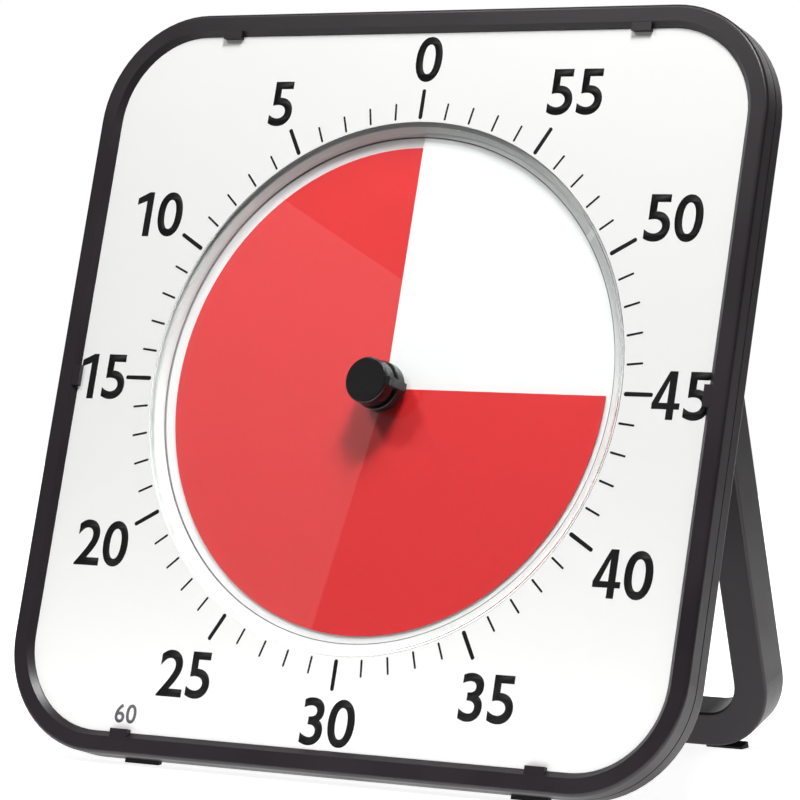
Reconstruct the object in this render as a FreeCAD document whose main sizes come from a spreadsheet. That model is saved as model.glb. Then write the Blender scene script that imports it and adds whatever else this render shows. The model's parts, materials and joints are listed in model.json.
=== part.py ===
import FreeCAD, Part
import math
import os
import re
import Sketcher
from FreeCAD import Placement, Rotation, Vector

# A free-standing 60-minute countdown timer.  Every piece is drawn lying on its back, in the dial's own frame:
# X to the right, Y up the dial, Z out of its printed face, with Z = 0 on the print and the spindle on the Z axis.
# The last section stands the pieces up: the case leans back on the table and the stand is folded out.

document = FreeCAD.newDocument("countdown_timer")
sheet = document.addObject("Spreadsheet::Sheet", "Sizes")

SIZES = [
    # case
    ("case_width", 304.8, "outside width"),
    ("case_height", 304.8, "outside height"),
    ("corner_radius", 45.0, "outside corners"),
    ("wall", 2.4, "side walls of the case and the rear housing"),
    ("rim_width", 8.9, "front rim, from the outside to the dial opening"),
    ("rim_proud", 2.35, "front rim above the print"),
    ("rim_chamfer", 2.1, "slope from the rim down to the cover"),
    ("edge_radius", 1.4, "rounded outside edges"),
    ("parting_depth", 5.0, "print to the joint between bezel and rear case"),
    ("parting_gap", 0.6, "width of the shadow groove at the joint"),
    ("parting_inset", 0.5, "depth of the shadow groove"),
    ("rear_depth", 12.05, "print to the back of the case"),
    ("back_wall", 2.0, "thickness of the back"),
    # dial and cover
    ("board_thickness", 1.2, "printed dial board"),
    ("ledge_thickness", 2.0, "bezel's ledge under the board"),
    ("board_play", 0.2, "board inside the bezel, each side"),
    ("opening_ease", 0.3, "added to the radius of the bezel opening's corners"),
    ("dial_radius", 106.9, "round opening in the board"),
    ("window_play", 0.6, "bezel's round opening around the lens's seat"),
    ("lens_thickness", 1.2, "clear lens: brim, wall and floor"),
    ("lens_play", 0.2, "lens in the board's opening"),
    ("seat_play", 0.2, "lens's seat on the white ring, beyond the lens"),
    ("seat_gap", 0.05, "lens to its seat"),
    ("seat_thickness", 1.2, "lens's seat"),
    ("lens_edge", 1.0, "flat front edge of the lens, flush with the print"),
    ("lens_slope", 4.5, "lens's wall, from its front edge in to the floor"),
    ("lens_depth", 3.1, "print to the floor of the lens"),
    ("lens_brim", 5.0, "lens's brim behind the board, beyond its opening"),
    ("knob_play", 0.75, "lens's hole around the knob's neck"),
    ("tab_width", 8.5, "tabs on the bezel that hold the board"),
    ("tab_reach", 1.4, "tabs beyond the bezel's opening"),
    ("tab_root", 2.6, "tabs into the rim"),
    ("tab_gap", 0.05, "board to the tabs"),
    ("tab_thickness", 2.1, "tabs"),
    ("tab_offset", 94.0, "tabs left and right of the middle"),
    # disks
    ("disk_depth", 6.4, "print to the middle of both disks"),
    ("disk_pitch", 1.6, "rise of both disks in one turn"),
    ("sheet_thickness", 0.3, "both disks"),
    ("slit_angle", 0.6, "slit in the white disk"),
    ("minutes_left", 45.0, "red shown at rest"),
    ("red_radius", 97.8, "red disk"),
    ("rim_ring_wall", 2.6, "ring that holds the white disk"),
    ("rim_ring_play", 0.1, "that ring inside the dial's opening"),
    ("rim_ring_gap", 0.4, "back of the lens to that ring"),
    ("hub_gap", 1.0, "knob's neck to the hub's wall"),
    ("hub_wall", 0.8, "hub's wall and floor"),
    ("hub_play", 0.6, "white disk around the hub"),
    ("hub_lens_gap", 0.6, "back of the lens to the hub"),
    ("hub_floor_gap", 1.9, "knob's foot to the hub's floor"),
    ("hub_boss_wall", 1.6, "hub's boss on the spindle"),
    ("hub_boss_length", 1.4, "hub's boss, below the hub's floor"),
    # knob and spindle
    ("knob_radius", 9.2, "knob"),
    ("knob_top", 10.2, "print to the knob's cap"),
    ("knob_foot", 5.6, "print down to the knob's foot"),
    ("knob_edge", 0.8, "rounded edge of the cap"),
    ("knob_skin", 5.8, "cap to the end of the spindle's bore"),
    ("knob_line", 1.1, "cap to the line around the knob"),
    ("knob_line_width", 0.35, "line around the knob"),
    ("knob_line_depth", 0.25, "depth of that line"),
    ("knob_grip", 6.2, "cap to the knob's waist"),
    ("waist_height", 2.2, "knob's waist"),
    ("waist_depth", 0.9, "knob's waist below the grip"),
    ("base_radius", 9.9, "knob's base"),
    ("base_gap", 0.2, "floor of the lens to the knob's base"),
    ("base_edge", 0.5, "rounded edge of the base"),
    ("neck_radius", 6.0, "knob's neck through the lens"),
    ("rib_width", 3.4, "knob's pointer rib"),
    ("rib_height", 0.9, "rib beyond the base"),
    ("rib_root", 2.5, "rib into the base"),
    ("rib_drop", 0.3, "cap to the rib's end"),
    ("spindle_radius", 2.5, "spindle"),
    ("running_play", 0.06, "radial play of what turns"),
    # movement
    ("movement_width", 70.0, "movement, square"),
    ("movement_wall", 1.5, "movement's walls"),
    ("plate_thickness", 1.5, "movement plate"),
    ("plate_depth", 10.4, "print to the movement plate"),
    ("gear_module", 0.5, "all gears"),
    ("spindle_teeth", 64, "spindle gear"),
    ("idler_small_teeth", 16, "idler's pinion"),
    ("idler_large_teeth", 48, "idler's wheel"),
    ("rotor_teeth", 12, "rotor's pinion"),
    ("gear_thickness", 2.0, "spindle gear"),
    ("mesh_play", 0.12, "added to each gear centre distance"),
    ("idler_angle", 180.0, "idler's direction from the spindle"),
    ("rotor_angle", 90.0, "rotor's direction from the idler"),
    ("arbor_radius", 0.8, "arbors"),
    ("gear_step", 3.5, "movement plate to the far side of the spindle gear"),
    ("wheel_step", 2.6, "spindle gear's far side to the idler wheel's"),
    ("wheel_thickness", 1.6, "idler's wheel"),
    ("pinion_tail", 0.2, "pinions beyond the wheel that they mesh with"),
    ("pinion_lead", 0.4, "idler's wheel to the magnet"),
    ("magnet_length", 4.6, "rotor's magnet"),
    ("magnet_radius", 4.5, "rotor's magnet"),
    ("magnet_play", 0.6, "stator's eye around the magnet"),
    ("coil_radius", 4.0, "coil's flanges"),
    ("coil_flange", 0.8, "thickness of the coil's flanges"),
    ("coil_waist", 0.7, "flanges beyond the winding"),
    ("coil_play", 0.1, "stator's bar in the coil"),
    ("coil_end_play", 0.3, "coil to the stator's bars"),
    ("stator_width", 24.0, "stator, along the coil"),
    ("stator_bar", 4.0, "stator's bars"),
    ("stator_near", 6.0, "rotor's axis to the stator's near edge"),
    ("stator_rise", 2.0, "magnet's end to the stator"),
    ("stator_thickness", 1.6, "stator"),
    ("coil_reach", 14.0, "rotor to the coil"),
    ("movement_corner", 3.0, "movement's corners"),
    ("movement_post", 2.4, "screw posts in the movement"),
    ("post_inset", 4.5, "screw posts from the movement's outside"),
    ("pilot_depth", 7.0, "small screws' holes"),
    ("pilot_play", 0.05, "radius of a screw's hole beyond the screw"),
    ("bearing_floor", 0.4, "movement's wall left under its bearings"),
    ("shaft_end_play", 0.1, "spindle's end to its bearing's floor"),
    ("arbor_end_play", 0.05, "arbors' ends to their bearings' floors"),
    ("clip_wall", 1.8, "retaining ring on the spindle"),
    ("clip_thickness", 0.85, "retaining ring on the spindle"),
    ("clip_play", 0.15, "movement plate to the retaining ring"),
    # rear housing and what it holds
    ("housing_width", 150.0, "rear housing"),
    ("housing_height", 112.0, "rear housing"),
    ("battery_room", 2.7, "rear housing's depth beyond the cell's diameter"),
    ("housing_floor", 3.0, "housing's back wall"),
    ("housing_corner", 9.0, "housing's corners"),
    ("housing_edge", 2.5, "housing's rounded back edges"),
    ("nest_play", 0.2, "movement in its nest"),
    ("nest_wall", 1.8, "wall of the movement's nest"),
    ("nest_height", 3.0, "wall of the movement's nest"),
    ("battery_x", 55.0, "battery's axis"),
    ("battery_radius", 7.15, "AA cell"),
    ("battery_length", 49.5, "AA cell without its nub"),
    ("nub_radius", 2.7, "AA cell's nub"),
    ("nub_height", 1.0, "AA cell's nub"),
    ("cell_gap", 0.3, "housing's back wall to the cell"),
    ("cell_hole_play", 0.5, "housing's opening around the cell"),
    ("cell_hole_end", 1.5, "housing's opening beyond the cell's ends"),
    ("cell_hole_corner", 3.0, "corners of that opening"),
    ("tray_wall", 1.4, "battery tray's sides"),
    ("tray_end", 1.2, "battery tray's end walls"),
    ("tray_gap", 0.4, "housing's back wall to the tray"),
    ("tray_corner", 1.0, "battery tray's corners"),
    ("tray_play", 0.25, "cell in its tray"),
    ("spring_room", 12.5, "tray's length beyond the cell"),
    ("contact_width", 11.0, "battery contacts"),
    ("contact_height", 10.0, "battery contacts"),
    ("contact_thickness", 0.4, "battery contacts"),
    ("spring_thickness", 0.35, "contact spring's strip"),
    ("spring_width", 6.0, "contact spring's strip"),
    ("spring_reach", 4.0, "contact spring's bends, above and below the cell's axis"),
    ("spring_gap", 0.05, "contact spring to the cell"),
    ("door_width", 26.0, "battery door"),
    ("door_top", 31.0, "battery door's upper end"),
    ("door_play", 0.2, "door in its recess"),
    ("door_tongue", 1.5, "door's tongues beyond its sides"),
    ("door_lip", 1.0, "housing's lips over the tongues"),
    ("groove_height", 1.1, "grooves for the tongues"),
    ("groove_runout", 2.0, "grooves beyond the housing's lower end"),
    ("tongue_play", 0.07, "tongues in their grooves"),
    ("grip_count", 5, "grip lines on the door"),
    ("grip_start", 5.0, "door's lower end to its first grip line"),
    ("grip_pitch", 2.0, "grip lines"),
    ("grip_margin", 5.0, "grip lines to the door's sides"),
    ("grip_width", 0.9, "grip lines"),
    ("grip_depth", 0.4, "grip lines"),
    ("board_x", -54.5, "circuit board's middle"),
    ("board_width", 31.0, "circuit board"),
    ("board_length", 84.0, "circuit board"),
    ("circuit_thickness", 1.6, "circuit board"),
    ("circuit_corner", 1.5, "circuit board's corners"),
    ("circuit_depth", 14.0, "print to the circuit board's back"),
    ("post_offset", 36.0, "board's posts above and below the middle"),
    ("post_radius", 2.5, "board's posts"),
    ("buzzer_y", 14.0, "buzzer"),
    ("buzzer_radius", 9.0, "buzzer"),
    ("buzzer_gap", 1.5, "housing's back wall to the buzzer"),
    ("port_radius", 1.5, "buzzer's sound port"),
    ("port_depth", 2.0, "buzzer's sound port"),
    ("grille_pitch", 4.4, "spacing of the sound holes"),
    ("grille_hole", 1.1, "radius of the sound holes"),
    ("switch_y", -14.0, "alarm switch"),
    ("switch_length", 13.0, "switch's body"),
    ("switch_width", 6.0, "switch's body"),
    ("switch_gap", 0.8, "housing's back wall to the switch"),
    ("well_depth", 6.0, "switch's well for the stem"),
    ("well_play", 0.2, "stem in the well"),
    ("switch_travel", 4.8, "slider's whole travel"),
    ("stem_width", 3.0, "slider's stem"),
    ("stem_height", 2.2, "slider's stem"),
    ("stem_play", 0.3, "stem in the housing's slot"),
    ("stem_reach", 4.9, "stem beyond the housing's back wall"),
    ("thumb_gap", 0.1, "housing to the slider's thumb pad"),
    ("thumb_length", 7.0, "slider's thumb pad"),
    ("thumb_width", 5.4, "slider's thumb pad"),
    ("thumb_corner", 1.0, "slider's thumb pad"),
    ("thumb_height", 1.3, "slider's thumb pad"),
    # stand
    ("lean_angle", 16.5, "case, leaning back"),
    ("open_angle", 34.0, "stand, opened from the case"),
    ("stand_width", 222.8, "stand, outside"),
    ("arm_width", 14.5, "stand's bar, seen from the front"),
    ("arm_thickness", 17.0, "stand's bar, front to back"),
    ("arm_edge", 1.2, "bar's long edges"),
    ("stand_corner", 28.5, "stand's outside corners"),
    ("pivot_inset", 42.4, "top of the case down to the stand's hinge"),
    ("arm_gap", 0.95, "back of the case to the folded stand"),
    ("pin_radius", 2.5, "hinge pins"),
    ("lug_width", 10.5, "hinge lugs"),
    ("lug_gap", 0.4, "lug to arm"),
    ("lug_length", 24.0, "hinge lugs"),
    ("lug_round", 6.0, "lugs' rounded back edges"),
    ("stop_gap", 0.35, "stop heels to the case's back, the stand open"),
    ("heel_thickness", 10.0, "stop heel"),
    ("pin_inset", 2.0, "stand's outer sides to the ends of the pins"),
    ("foot_drop", 0.5, "rubber feet below the case and the stand"),
    ("foot_width", 16.0, "rubber feet"),
    ("case_foot_depth", 2.4, "feet under the case, front to back"),
    ("stand_pad_depth", 6.0, "pads under the stand, front to back"),
    ("foot_offset", 88.0, "feet left and right of the middle"),
    # fasteners
    ("boss_radius", 4.0, "screw bosses"),
    ("boss_inset", 30.4, "corner bosses from the outside of the case"),
    ("screw_radius", 1.45, "case screws"),
    ("screw_head", 2.9, "case screws"),
    ("screw_length", 7.0, "case screws"),
    ("screw_grip", 6.0, "case screws' holes in the bosses"),
    ("screw_play", 0.25, "case screws in the rear case"),
    ("small_screw", 0.9, "movement and board screws"),
    ("small_head", 1.8, "movement and board screws"),
    ("small_length", 6.0, "movement and board screws"),
    ("keyhole_inset", 26.4, "top of the case down to the wall keyhole"),
    ("keyhole_radius", 4.5, "keyhole's round part"),
    ("keyhole_slot", 4.6, "keyhole's slot"),
    ("keyhole_rise", 9.0, "keyhole's slot above its round part"),
]
for row, (word, size, meaning) in enumerate(SIZES, start=1):
    sheet.set(f"A{row}", meaning)
    sheet.set(f"B{row}", str(size))
    sheet.setAlias(f"B{row}", word)
document.recompute()
WORDS = {word for word, size, meaning in SIZES}


def formula(text):
    """An expression in the sheet's words, each tied to its cell."""
    return re.sub(r"[a-z_]+", lambda word: "Sizes." + word[0] if word[0] in WORDS else word[0], text)


def size_of(text):
    """What such an expression comes to."""
    return float(sheet.evalExpression(formula(text)))


def bind(thing, **sizes):
    """Ties properties of an object to expressions; a double underscore stands for a dot."""
    for name, text in sizes.items():
        thing.setExpression(name.replace("__", "."), formula(text))


# ---- sketches and features ----

def new_body(label):
    body = document.addObject("PartDesign::Body", label)
    body.Label = label
    return body


def sketch_on(body, name, x="0", y="0", z="0", plane="XY_Plane"):
    """A sketch on one of the body's origin planes, its origin moved to x, y and z in the plane's own axes."""
    sketch = body.newObject("Sketcher::SketchObject", name)
    origin_plane = next(each for each in body.Origin.OriginFeatures if each.Role == plane)
    sketch.AttachmentSupport = (origin_plane, [""])
    sketch.MapMode = "FlatFace"
    bind(sketch, AttachmentOffset__Base__x=x, AttachmentOffset__Base__y=y, AttachmentOffset__Base__z=z)
    return sketch


def drive(sketch, kind, references, text):
    """A dimension of a sketch, driven by an expression."""
    index = sketch.addConstraint(Sketcher.Constraint(kind, *references, size_of(text)))
    sketch.setExpression(f"Constraints[{index}]", formula(text))


def circle(sketch, radius, x="0", y="0"):
    centre = Vector(size_of(x), size_of(y), 0)
    index = sketch.addGeometry(Part.Circle(centre, Vector(0, 0, 1), size_of(radius)))
    drive(sketch, "DistanceX", (-1, 1, index, 3), x)
    drive(sketch, "DistanceY", (-1, 1, index, 3), y)
    drive(sketch, "Radius", (index,), radius)


def polygon(sketch, corners):
    """A closed outline of straight lines; each corner is a pair of expressions."""
    points = [Vector(size_of(x), size_of(y), 0) for x, y in corners]
    first = sketch.GeometryCount
    for index, point in enumerate(points):
        sketch.addGeometry(Part.LineSegment(point, points[(index + 1) % len(points)]))
    for index, (x, y) in enumerate(corners):
        line = first + index
        following = first + (index + 1) % len(corners)
        sketch.addConstraint(Sketcher.Constraint("Coincident", line, 2, following, 1))
        drive(sketch, "DistanceX", (-1, 1, line, 1), x)
        drive(sketch, "DistanceY", (-1, 1, line, 1), y)


def rectangle(sketch, width, height, radius=None):
    """A rectangle about the sketch's origin, with rounded corners where a radius is given."""
    if radius is None:
        half_x, half_y = f"({width}) / 2", f"({height}) / 2"
        polygon(sketch, [(f"-{half_x}", f"-{half_y}"), (half_x, f"-{half_y}"),
                         (half_x, half_y), (f"-{half_x}", half_y)])
        return
    x, y, r = size_of(width) / 2, size_of(height) / 2, size_of(radius)
    first = sketch.GeometryCount
    ends = [(-x + r, -y, x - r, -y), (x, -y + r, x, y - r), (x - r, y, -x + r, y), (-x, y - r, -x, -y + r)]
    for x0, y0, x1, y1 in ends:
        sketch.addGeometry(Part.LineSegment(Vector(x0, y0, 0), Vector(x1, y1, 0)))
    centres = [(x - r, -y + r), (x - r, y - r), (-x + r, y - r), (-x + r, -y + r)]
    for quarter, (cx, cy) in enumerate(centres):
        whole = Part.Circle(Vector(cx, cy, 0), Vector(0, 0, 1), r)
        start = (quarter - 1) * math.pi / 2
        sketch.addGeometry(Part.ArcOfCircle(whole, start, start + math.pi / 2))
    for side in range(4):
        line, arc = first + side, first + 4 + side
        sketch.addConstraint(Sketcher.Constraint("Tangent", line, 2, arc, 1))
        sketch.addConstraint(Sketcher.Constraint("Tangent", arc, 2, first + (side + 1) % 4, 1))
        sketch.addConstraint(Sketcher.Constraint("Vertical" if side % 2 else "Horizontal", line))
    for arc in range(first + 5, first + 8):
        sketch.addConstraint(Sketcher.Constraint("Equal", first + 4, arc))
    lower_right, upper_left, lower_left = first + 4, first + 6, first + 7
    sketch.addConstraint(Sketcher.Constraint("Symmetric", lower_right, 3, upper_left, 3, -1, 1))
    drive(sketch, "DistanceX", (lower_left, 3, lower_right, 3), f"({width}) - 2 * ({radius})")
    drive(sketch, "DistanceY", (lower_left, 3, upper_left, 3), f"({height}) - 2 * ({radius})")
    drive(sketch, "Radius", (lower_right,), radius)


def pad(sketch, length, down=False, both_ways=False):
    feature = sketch.getParentGeoFeatureGroup().newObject("PartDesign::Pad", sketch.Name + "_pad")
    feature.Profile = sketch
    feature.Reversed = down
    feature.Midplane = both_ways
    bind(feature, Length=length)
    document.recompute()
    return feature


def pocket(sketch, length, up=False, both_ways=False):
    """Cuts the sketch into its body, and stops if nothing was cut."""
    body = sketch.getParentGeoFeatureGroup()
    before = body.Tip.Shape.Volume
    feature = body.newObject("PartDesign::Pocket", sketch.Name + "_pocket")
    feature.Profile = sketch
    feature.Reversed = up
    feature.Midplane = both_ways
    bind(feature, Length=length)
    document.recompute()
    if not feature.Shape.Volume < before:
        raise RuntimeError(f"{body.Label}: {sketch.Name} cuts nothing")
    return feature


def revolve(sketch, axis="V_Axis"):
    feature = sketch.getParentGeoFeatureGroup().newObject("PartDesign::Revolution", sketch.Name + "_turned")
    feature.Profile = sketch
    feature.ReferenceAxis = (sketch, [axis])
    feature.Angle = 360
    document.recompute()
    return feature


def round_edges(body, radius, wanted):
    """Rounds the edges of the body's tip for which wanted(edge) holds."""
    base = body.Tip
    names = [f"Edge{index}" for index, edge in enumerate(base.Shape.Edges, start=1) if wanted(edge)]
    feature = body.newObject("PartDesign::Fillet", body.Name + "_round")
    feature.Base = (base, names)
    bind(feature, Radius=radius)
    document.recompute()
    return feature


def bevel_edges(body, size, wanted):
    base = body.Tip
    names = [f"Edge{index}" for index, edge in enumerate(base.Shape.Edges, start=1) if wanted(edge)]
    feature = body.newObject("PartDesign::Chamfer", body.Name + "_bevel")
    feature.Base = (base, names)
    bind(feature, Size=size)
    document.recompute()
    return feature


def lies_at(level):
    """A test for edges that lie flat at one height."""
    height = size_of(level)
    return lambda edge: abs(edge.BoundBox.ZMin - height) < 1e-3 and abs(edge.BoundBox.ZMax - height) < 1e-3


def plain_solid(label, shape):
    """A piece made in code; the compound keeps the place that the shape already has in the dial's frame."""
    feature = document.addObject("Part::Feature", label)
    feature.Label = label
    feature.Shape = Part.makeCompound([shape])
    return feature


# Levels and sizes that several pieces share, as expressions. A sliver keeps a cut from ending in a face, and a
# sketch from holding a line of no length.
SLIVER = "0.01"
LENS_RADIUS = "(dial_radius - lens_play)"
SEAT_RADIUS = "(dial_radius + lens_brim + seat_play)"
WINDOW_RADIUS = f"({SEAT_RADIUS} + window_play)"
LENS_FLOOR_RADIUS = "(dial_radius - lens_play - lens_edge - lens_slope)"
RIM_RING_RADIUS = "(dial_radius - rim_ring_play - rim_ring_wall)"
HUB_RADIUS = "(neck_radius + hub_gap + hub_wall)"
HOUSING_DEPTH = "(2 * battery_radius + battery_room)"
TRAY_WIDTH = "(2 * battery_radius + 2 * tray_play + 2 * tray_wall)"
TRAY_LENGTH = "(battery_length + spring_room)"
PIVOT_Y = "(case_height / 2 - pivot_inset)"
PIVOT_DEPTH = "(rear_depth + arm_gap + arm_thickness / 2)"
KEYHOLE_Y = "(case_height / 2 - keyhole_inset)"
PARTING = "-parting_depth"
BACK = "-rear_depth"
BACK_INSIDE = "-rear_depth + back_wall"
LEDGE_TOP = "-board_thickness"
LEDGE_BOTTOM = "-board_thickness - ledge_thickness"
HOUSING_BACK = f"-rear_depth - {HOUSING_DEPTH}"
HOUSING_INSIDE = f"-rear_depth - {HOUSING_DEPTH} + housing_floor"
LENS_FLOOR = "-lens_depth"
LENS_BACK = "-lens_depth - lens_thickness"
PLATE_BACK = "-plate_depth - plate_thickness"
BEARING = f"{HOUSING_INSIDE} + bearing_floor"
OPENING_WIDTH = "case_width - 2 * rim_width"
OPENING_HEIGHT = "case_height - 2 * rim_width"
OPENING_RADIUS = "corner_radius - rim_width + opening_ease"

BOSS_X = "(case_width / 2 - boss_inset)"
BOSS_Y = "(case_height / 2 - boss_inset)"
SIDE_BOSS = f"(({WINDOW_RADIUS} + case_width / 2 - wall) / 2)"
CASE_SCREWS = [(BOSS_X, BOSS_Y), (f"-{BOSS_X}", BOSS_Y), (BOSS_X, f"-{BOSS_Y}"), (f"-{BOSS_X}", f"-{BOSS_Y}"),
               (SIDE_BOSS, "0"), (f"-{SIDE_BOSS}", "0")]
SCREW_INSET = "(movement_width / 2 - post_inset)"
MOVEMENT_SCREWS = [(f"{sx}{SCREW_INSET}", f"{sy}{SCREW_INSET}") for sx in ("", "-") for sy in ("", "-")]
BOARD_SCREWS = [("board_x", "post_offset"), ("board_x", "-post_offset")]


# ---- the case ----

def front_bezel():
    """Moulded front frame: sloped rim, six tabs over the dial board, and a ledge under it."""
    body = new_body("front_bezel")
    outline = sketch_on(body, "bezel_outline", z="rim_proud")
    rectangle(outline, "case_width", "case_height", "corner_radius")
    pad(outline, "rim_proud + parting_depth", down=True)
    round_edges(body, "edge_radius", lies_at("rim_proud"))
    opening = sketch_on(body, "bezel_opening", z="rim_proud")
    rectangle(opening, OPENING_WIDTH, OPENING_HEIGHT, OPENING_RADIUS)
    pocket(opening, "rim_proud + board_thickness")
    reach_x = size_of(f"case_width / 2 - rim_width + {SLIVER}")
    reach_y = size_of(f"case_height / 2 - rim_width + {SLIVER}")
    at_rim = lies_at("rim_proud")
    bevel_edges(body, "rim_chamfer", lambda edge: at_rim(edge) and abs(edge.CenterOfMass.x) < reach_x
                and abs(edge.CenterOfMass.y) < reach_y)
    cavity = sketch_on(body, "bezel_cavity", z=PARTING)
    rectangle(cavity, "case_width - 2 * wall", "case_height - 2 * wall", "corner_radius - wall")
    pocket(cavity, f"parting_depth + ({LEDGE_BOTTOM})", up=True)
    window = sketch_on(body, "bezel_window", z=LEDGE_TOP)
    circle(window, WINDOW_RADIUS)
    pocket(window, "ledge_thickness")
    bosses = sketch_on(body, "bezel_bosses", z=LEDGE_BOTTOM)
    for x, y in CASE_SCREWS:
        circle(bosses, "boss_radius", x, y)
    pad(bosses, f"({LEDGE_BOTTOM}) - ({BACK_INSIDE})", down=True)
    holes = sketch_on(body, "bezel_screw_holes", z=BACK_INSIDE)
    for x, y in CASE_SCREWS:
        circle(holes, "screw_radius + pilot_play", x, y)
    pocket(holes, "screw_grip", up=True)
    top_tab = "case_height / 2 - rim_width + (tab_root - tab_reach) / 2"
    side_tab = "case_width / 2 - rim_width + (tab_root - tab_reach) / 2"
    tabs = [("tab_offset", top_tab, True), ("-tab_offset", top_tab, True),
            ("tab_offset", f"-({top_tab})", True), ("-tab_offset", f"-({top_tab})", True),
            (side_tab, "0", False), (f"-({side_tab})", "0", False)]
    for index, (x, y, lying) in enumerate(tabs):
        tab = sketch_on(body, f"bezel_tab_{index}", x, y, "tab_gap")
        if lying:
            rectangle(tab, "tab_width", "tab_root + tab_reach")
        else:
            rectangle(tab, "tab_root + tab_reach", "tab_width")
        pad(tab, "tab_thickness")
    return body


def rear_case():
    """Moulded back: side wall, back with the wall keyhole, raised housing, hinge lugs for the stand."""
    body = new_body("rear_case")
    outline = sketch_on(body, "case_outline", z=BACK)
    rectangle(outline, "case_width", "case_height", "corner_radius")
    pad(outline, "rear_depth - parting_depth - parting_gap")
    round_edges(body, "edge_radius", lies_at(BACK))
    lip = sketch_on(body, "case_lip", z="-parting_depth - parting_gap")
    rectangle(lip, "case_width - 2 * parting_inset", "case_height - 2 * parting_inset",
              "corner_radius - parting_inset")
    pad(lip, "parting_gap")
    cavity = sketch_on(body, "case_cavity", z=PARTING)
    rectangle(cavity, "case_width - 2 * wall", "case_height - 2 * wall", "corner_radius - wall")
    pocket(cavity, "rear_depth - back_wall - parting_depth")

    housing = sketch_on(body, "housing_outline", z=BACK)
    rectangle(housing, "housing_width", "housing_height", "housing_corner")
    pad(housing, HOUSING_DEPTH, down=True)
    round_edges(body, "housing_edge", lies_at(HOUSING_BACK))
    inside = sketch_on(body, "housing_inside", z=BACK_INSIDE)
    rectangle(inside, "housing_width - 2 * wall", "housing_height - 2 * wall", "housing_corner - wall")
    pocket(inside, f"back_wall + {HOUSING_DEPTH} - housing_floor")

    for index, sign in enumerate(("", "-")):
        lug = sketch_on(body, f"lug_{index}", f"{sign}(stand_width / 2 - arm_width - lug_gap - lug_width / 2)",
                        PIVOT_Y, BACK)
        rectangle(lug, "lug_width", "lug_length")
        pad(lug, HOUSING_DEPTH, down=True)
    at_back = lies_at(HOUSING_BACK)
    inner = size_of("housing_height / 2") + 1
    round_edges(body, "lug_round", lambda edge: at_back(edge) and edge.CenterOfMass.y > inner
                and edge.BoundBox.XLength > 1)
    bore = sketch_on(body, "lug_bore", PIVOT_Y, f"-{PIVOT_DEPTH}", plane="YZ_Plane")
    circle(bore, "pin_radius + running_play")
    pocket(bore, "stand_width", both_ways=True)

    screws = sketch_on(body, "case_screw_holes", z=BACK)
    for x, y in CASE_SCREWS:
        circle(screws, "screw_radius + screw_play", x, y)
    pocket(screws, "back_wall", up=True)
    head_hole = sketch_on(body, "keyhole_round", y=KEYHOLE_Y, z=BACK)
    circle(head_hole, "keyhole_radius")
    pocket(head_hole, "back_wall", up=True)
    slot = sketch_on(body, "keyhole_slot", y=f"{KEYHOLE_Y} + keyhole_rise / 2", z=BACK)
    rectangle(slot, "keyhole_slot", "keyhole_rise + keyhole_slot", f"keyhole_slot / 2 - {SLIVER}")
    pocket(slot, "back_wall", up=True)

    door_length = "door_top + housing_height / 2"
    middle = "(door_top - housing_height / 2) / 2"
    recess_middle = f"{middle} - groove_runout / 2"
    recess_length = f"{door_length} + 2 * door_play + groove_runout"
    recess = sketch_on(body, "door_recess", "battery_x", recess_middle, HOUSING_BACK)
    rectangle(recess, "door_width + 2 * door_play", recess_length)
    pocket(recess, f"door_lip + {SLIVER}", up=True)
    groove = sketch_on(body, "door_groove", "battery_x", recess_middle, f"{HOUSING_BACK} + door_lip")
    rectangle(groove, "door_width + 2 * door_tongue + 2 * door_play", recess_length)
    pocket(groove, "groove_height", up=True)
    battery_hole = sketch_on(body, "battery_hole", "battery_x", "0",
                             f"{HOUSING_BACK} + door_lip + groove_height")
    rectangle(battery_hole, "2 * battery_radius + 2 * cell_hole_play", "battery_length + 2 * cell_hole_end",
              "cell_hole_corner")
    pocket(battery_hole, "housing_floor", up=True)

    grille = sketch_on(body, "sound_holes", z=HOUSING_BACK)
    circle(grille, "grille_hole", "board_x", "buzzer_y")
    for turn in range(0, 360, 60):
        circle(grille, "grille_hole", f"board_x + grille_pitch * cos({turn})",
               f"buzzer_y + grille_pitch * sin({turn})")
    pocket(grille, "housing_floor", up=True)
    switch_slot = sketch_on(body, "switch_slot", "board_x", "switch_y", HOUSING_BACK)
    rectangle(switch_slot, "stem_width + switch_travel + 2 * stem_play", "stem_height + 2 * stem_play")
    pocket(switch_slot, "housing_floor", up=True)

    posts = sketch_on(body, "board_posts", z=HOUSING_INSIDE)
    for x, y in BOARD_SCREWS:
        circle(posts, "post_radius", x, y)
    pad(posts, f"-circuit_depth - ({HOUSING_INSIDE})")
    post_holes = sketch_on(body, "board_post_holes", z="-circuit_depth")
    for x, y in BOARD_SCREWS:
        circle(post_holes, "small_screw + pilot_play", x, y)
    pocket(post_holes, "pilot_depth")
    nest = sketch_on(body, "movement_nest", z=HOUSING_INSIDE)
    outer_nest = "movement_width + 2 * nest_play + 2 * nest_wall"
    rectangle(nest, outer_nest, outer_nest, "movement_corner + nest_wall")
    rectangle(nest, "movement_width + 2 * nest_play", "movement_width + 2 * nest_play", "movement_corner")
    pad(nest, "nest_height")
    return body


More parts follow.
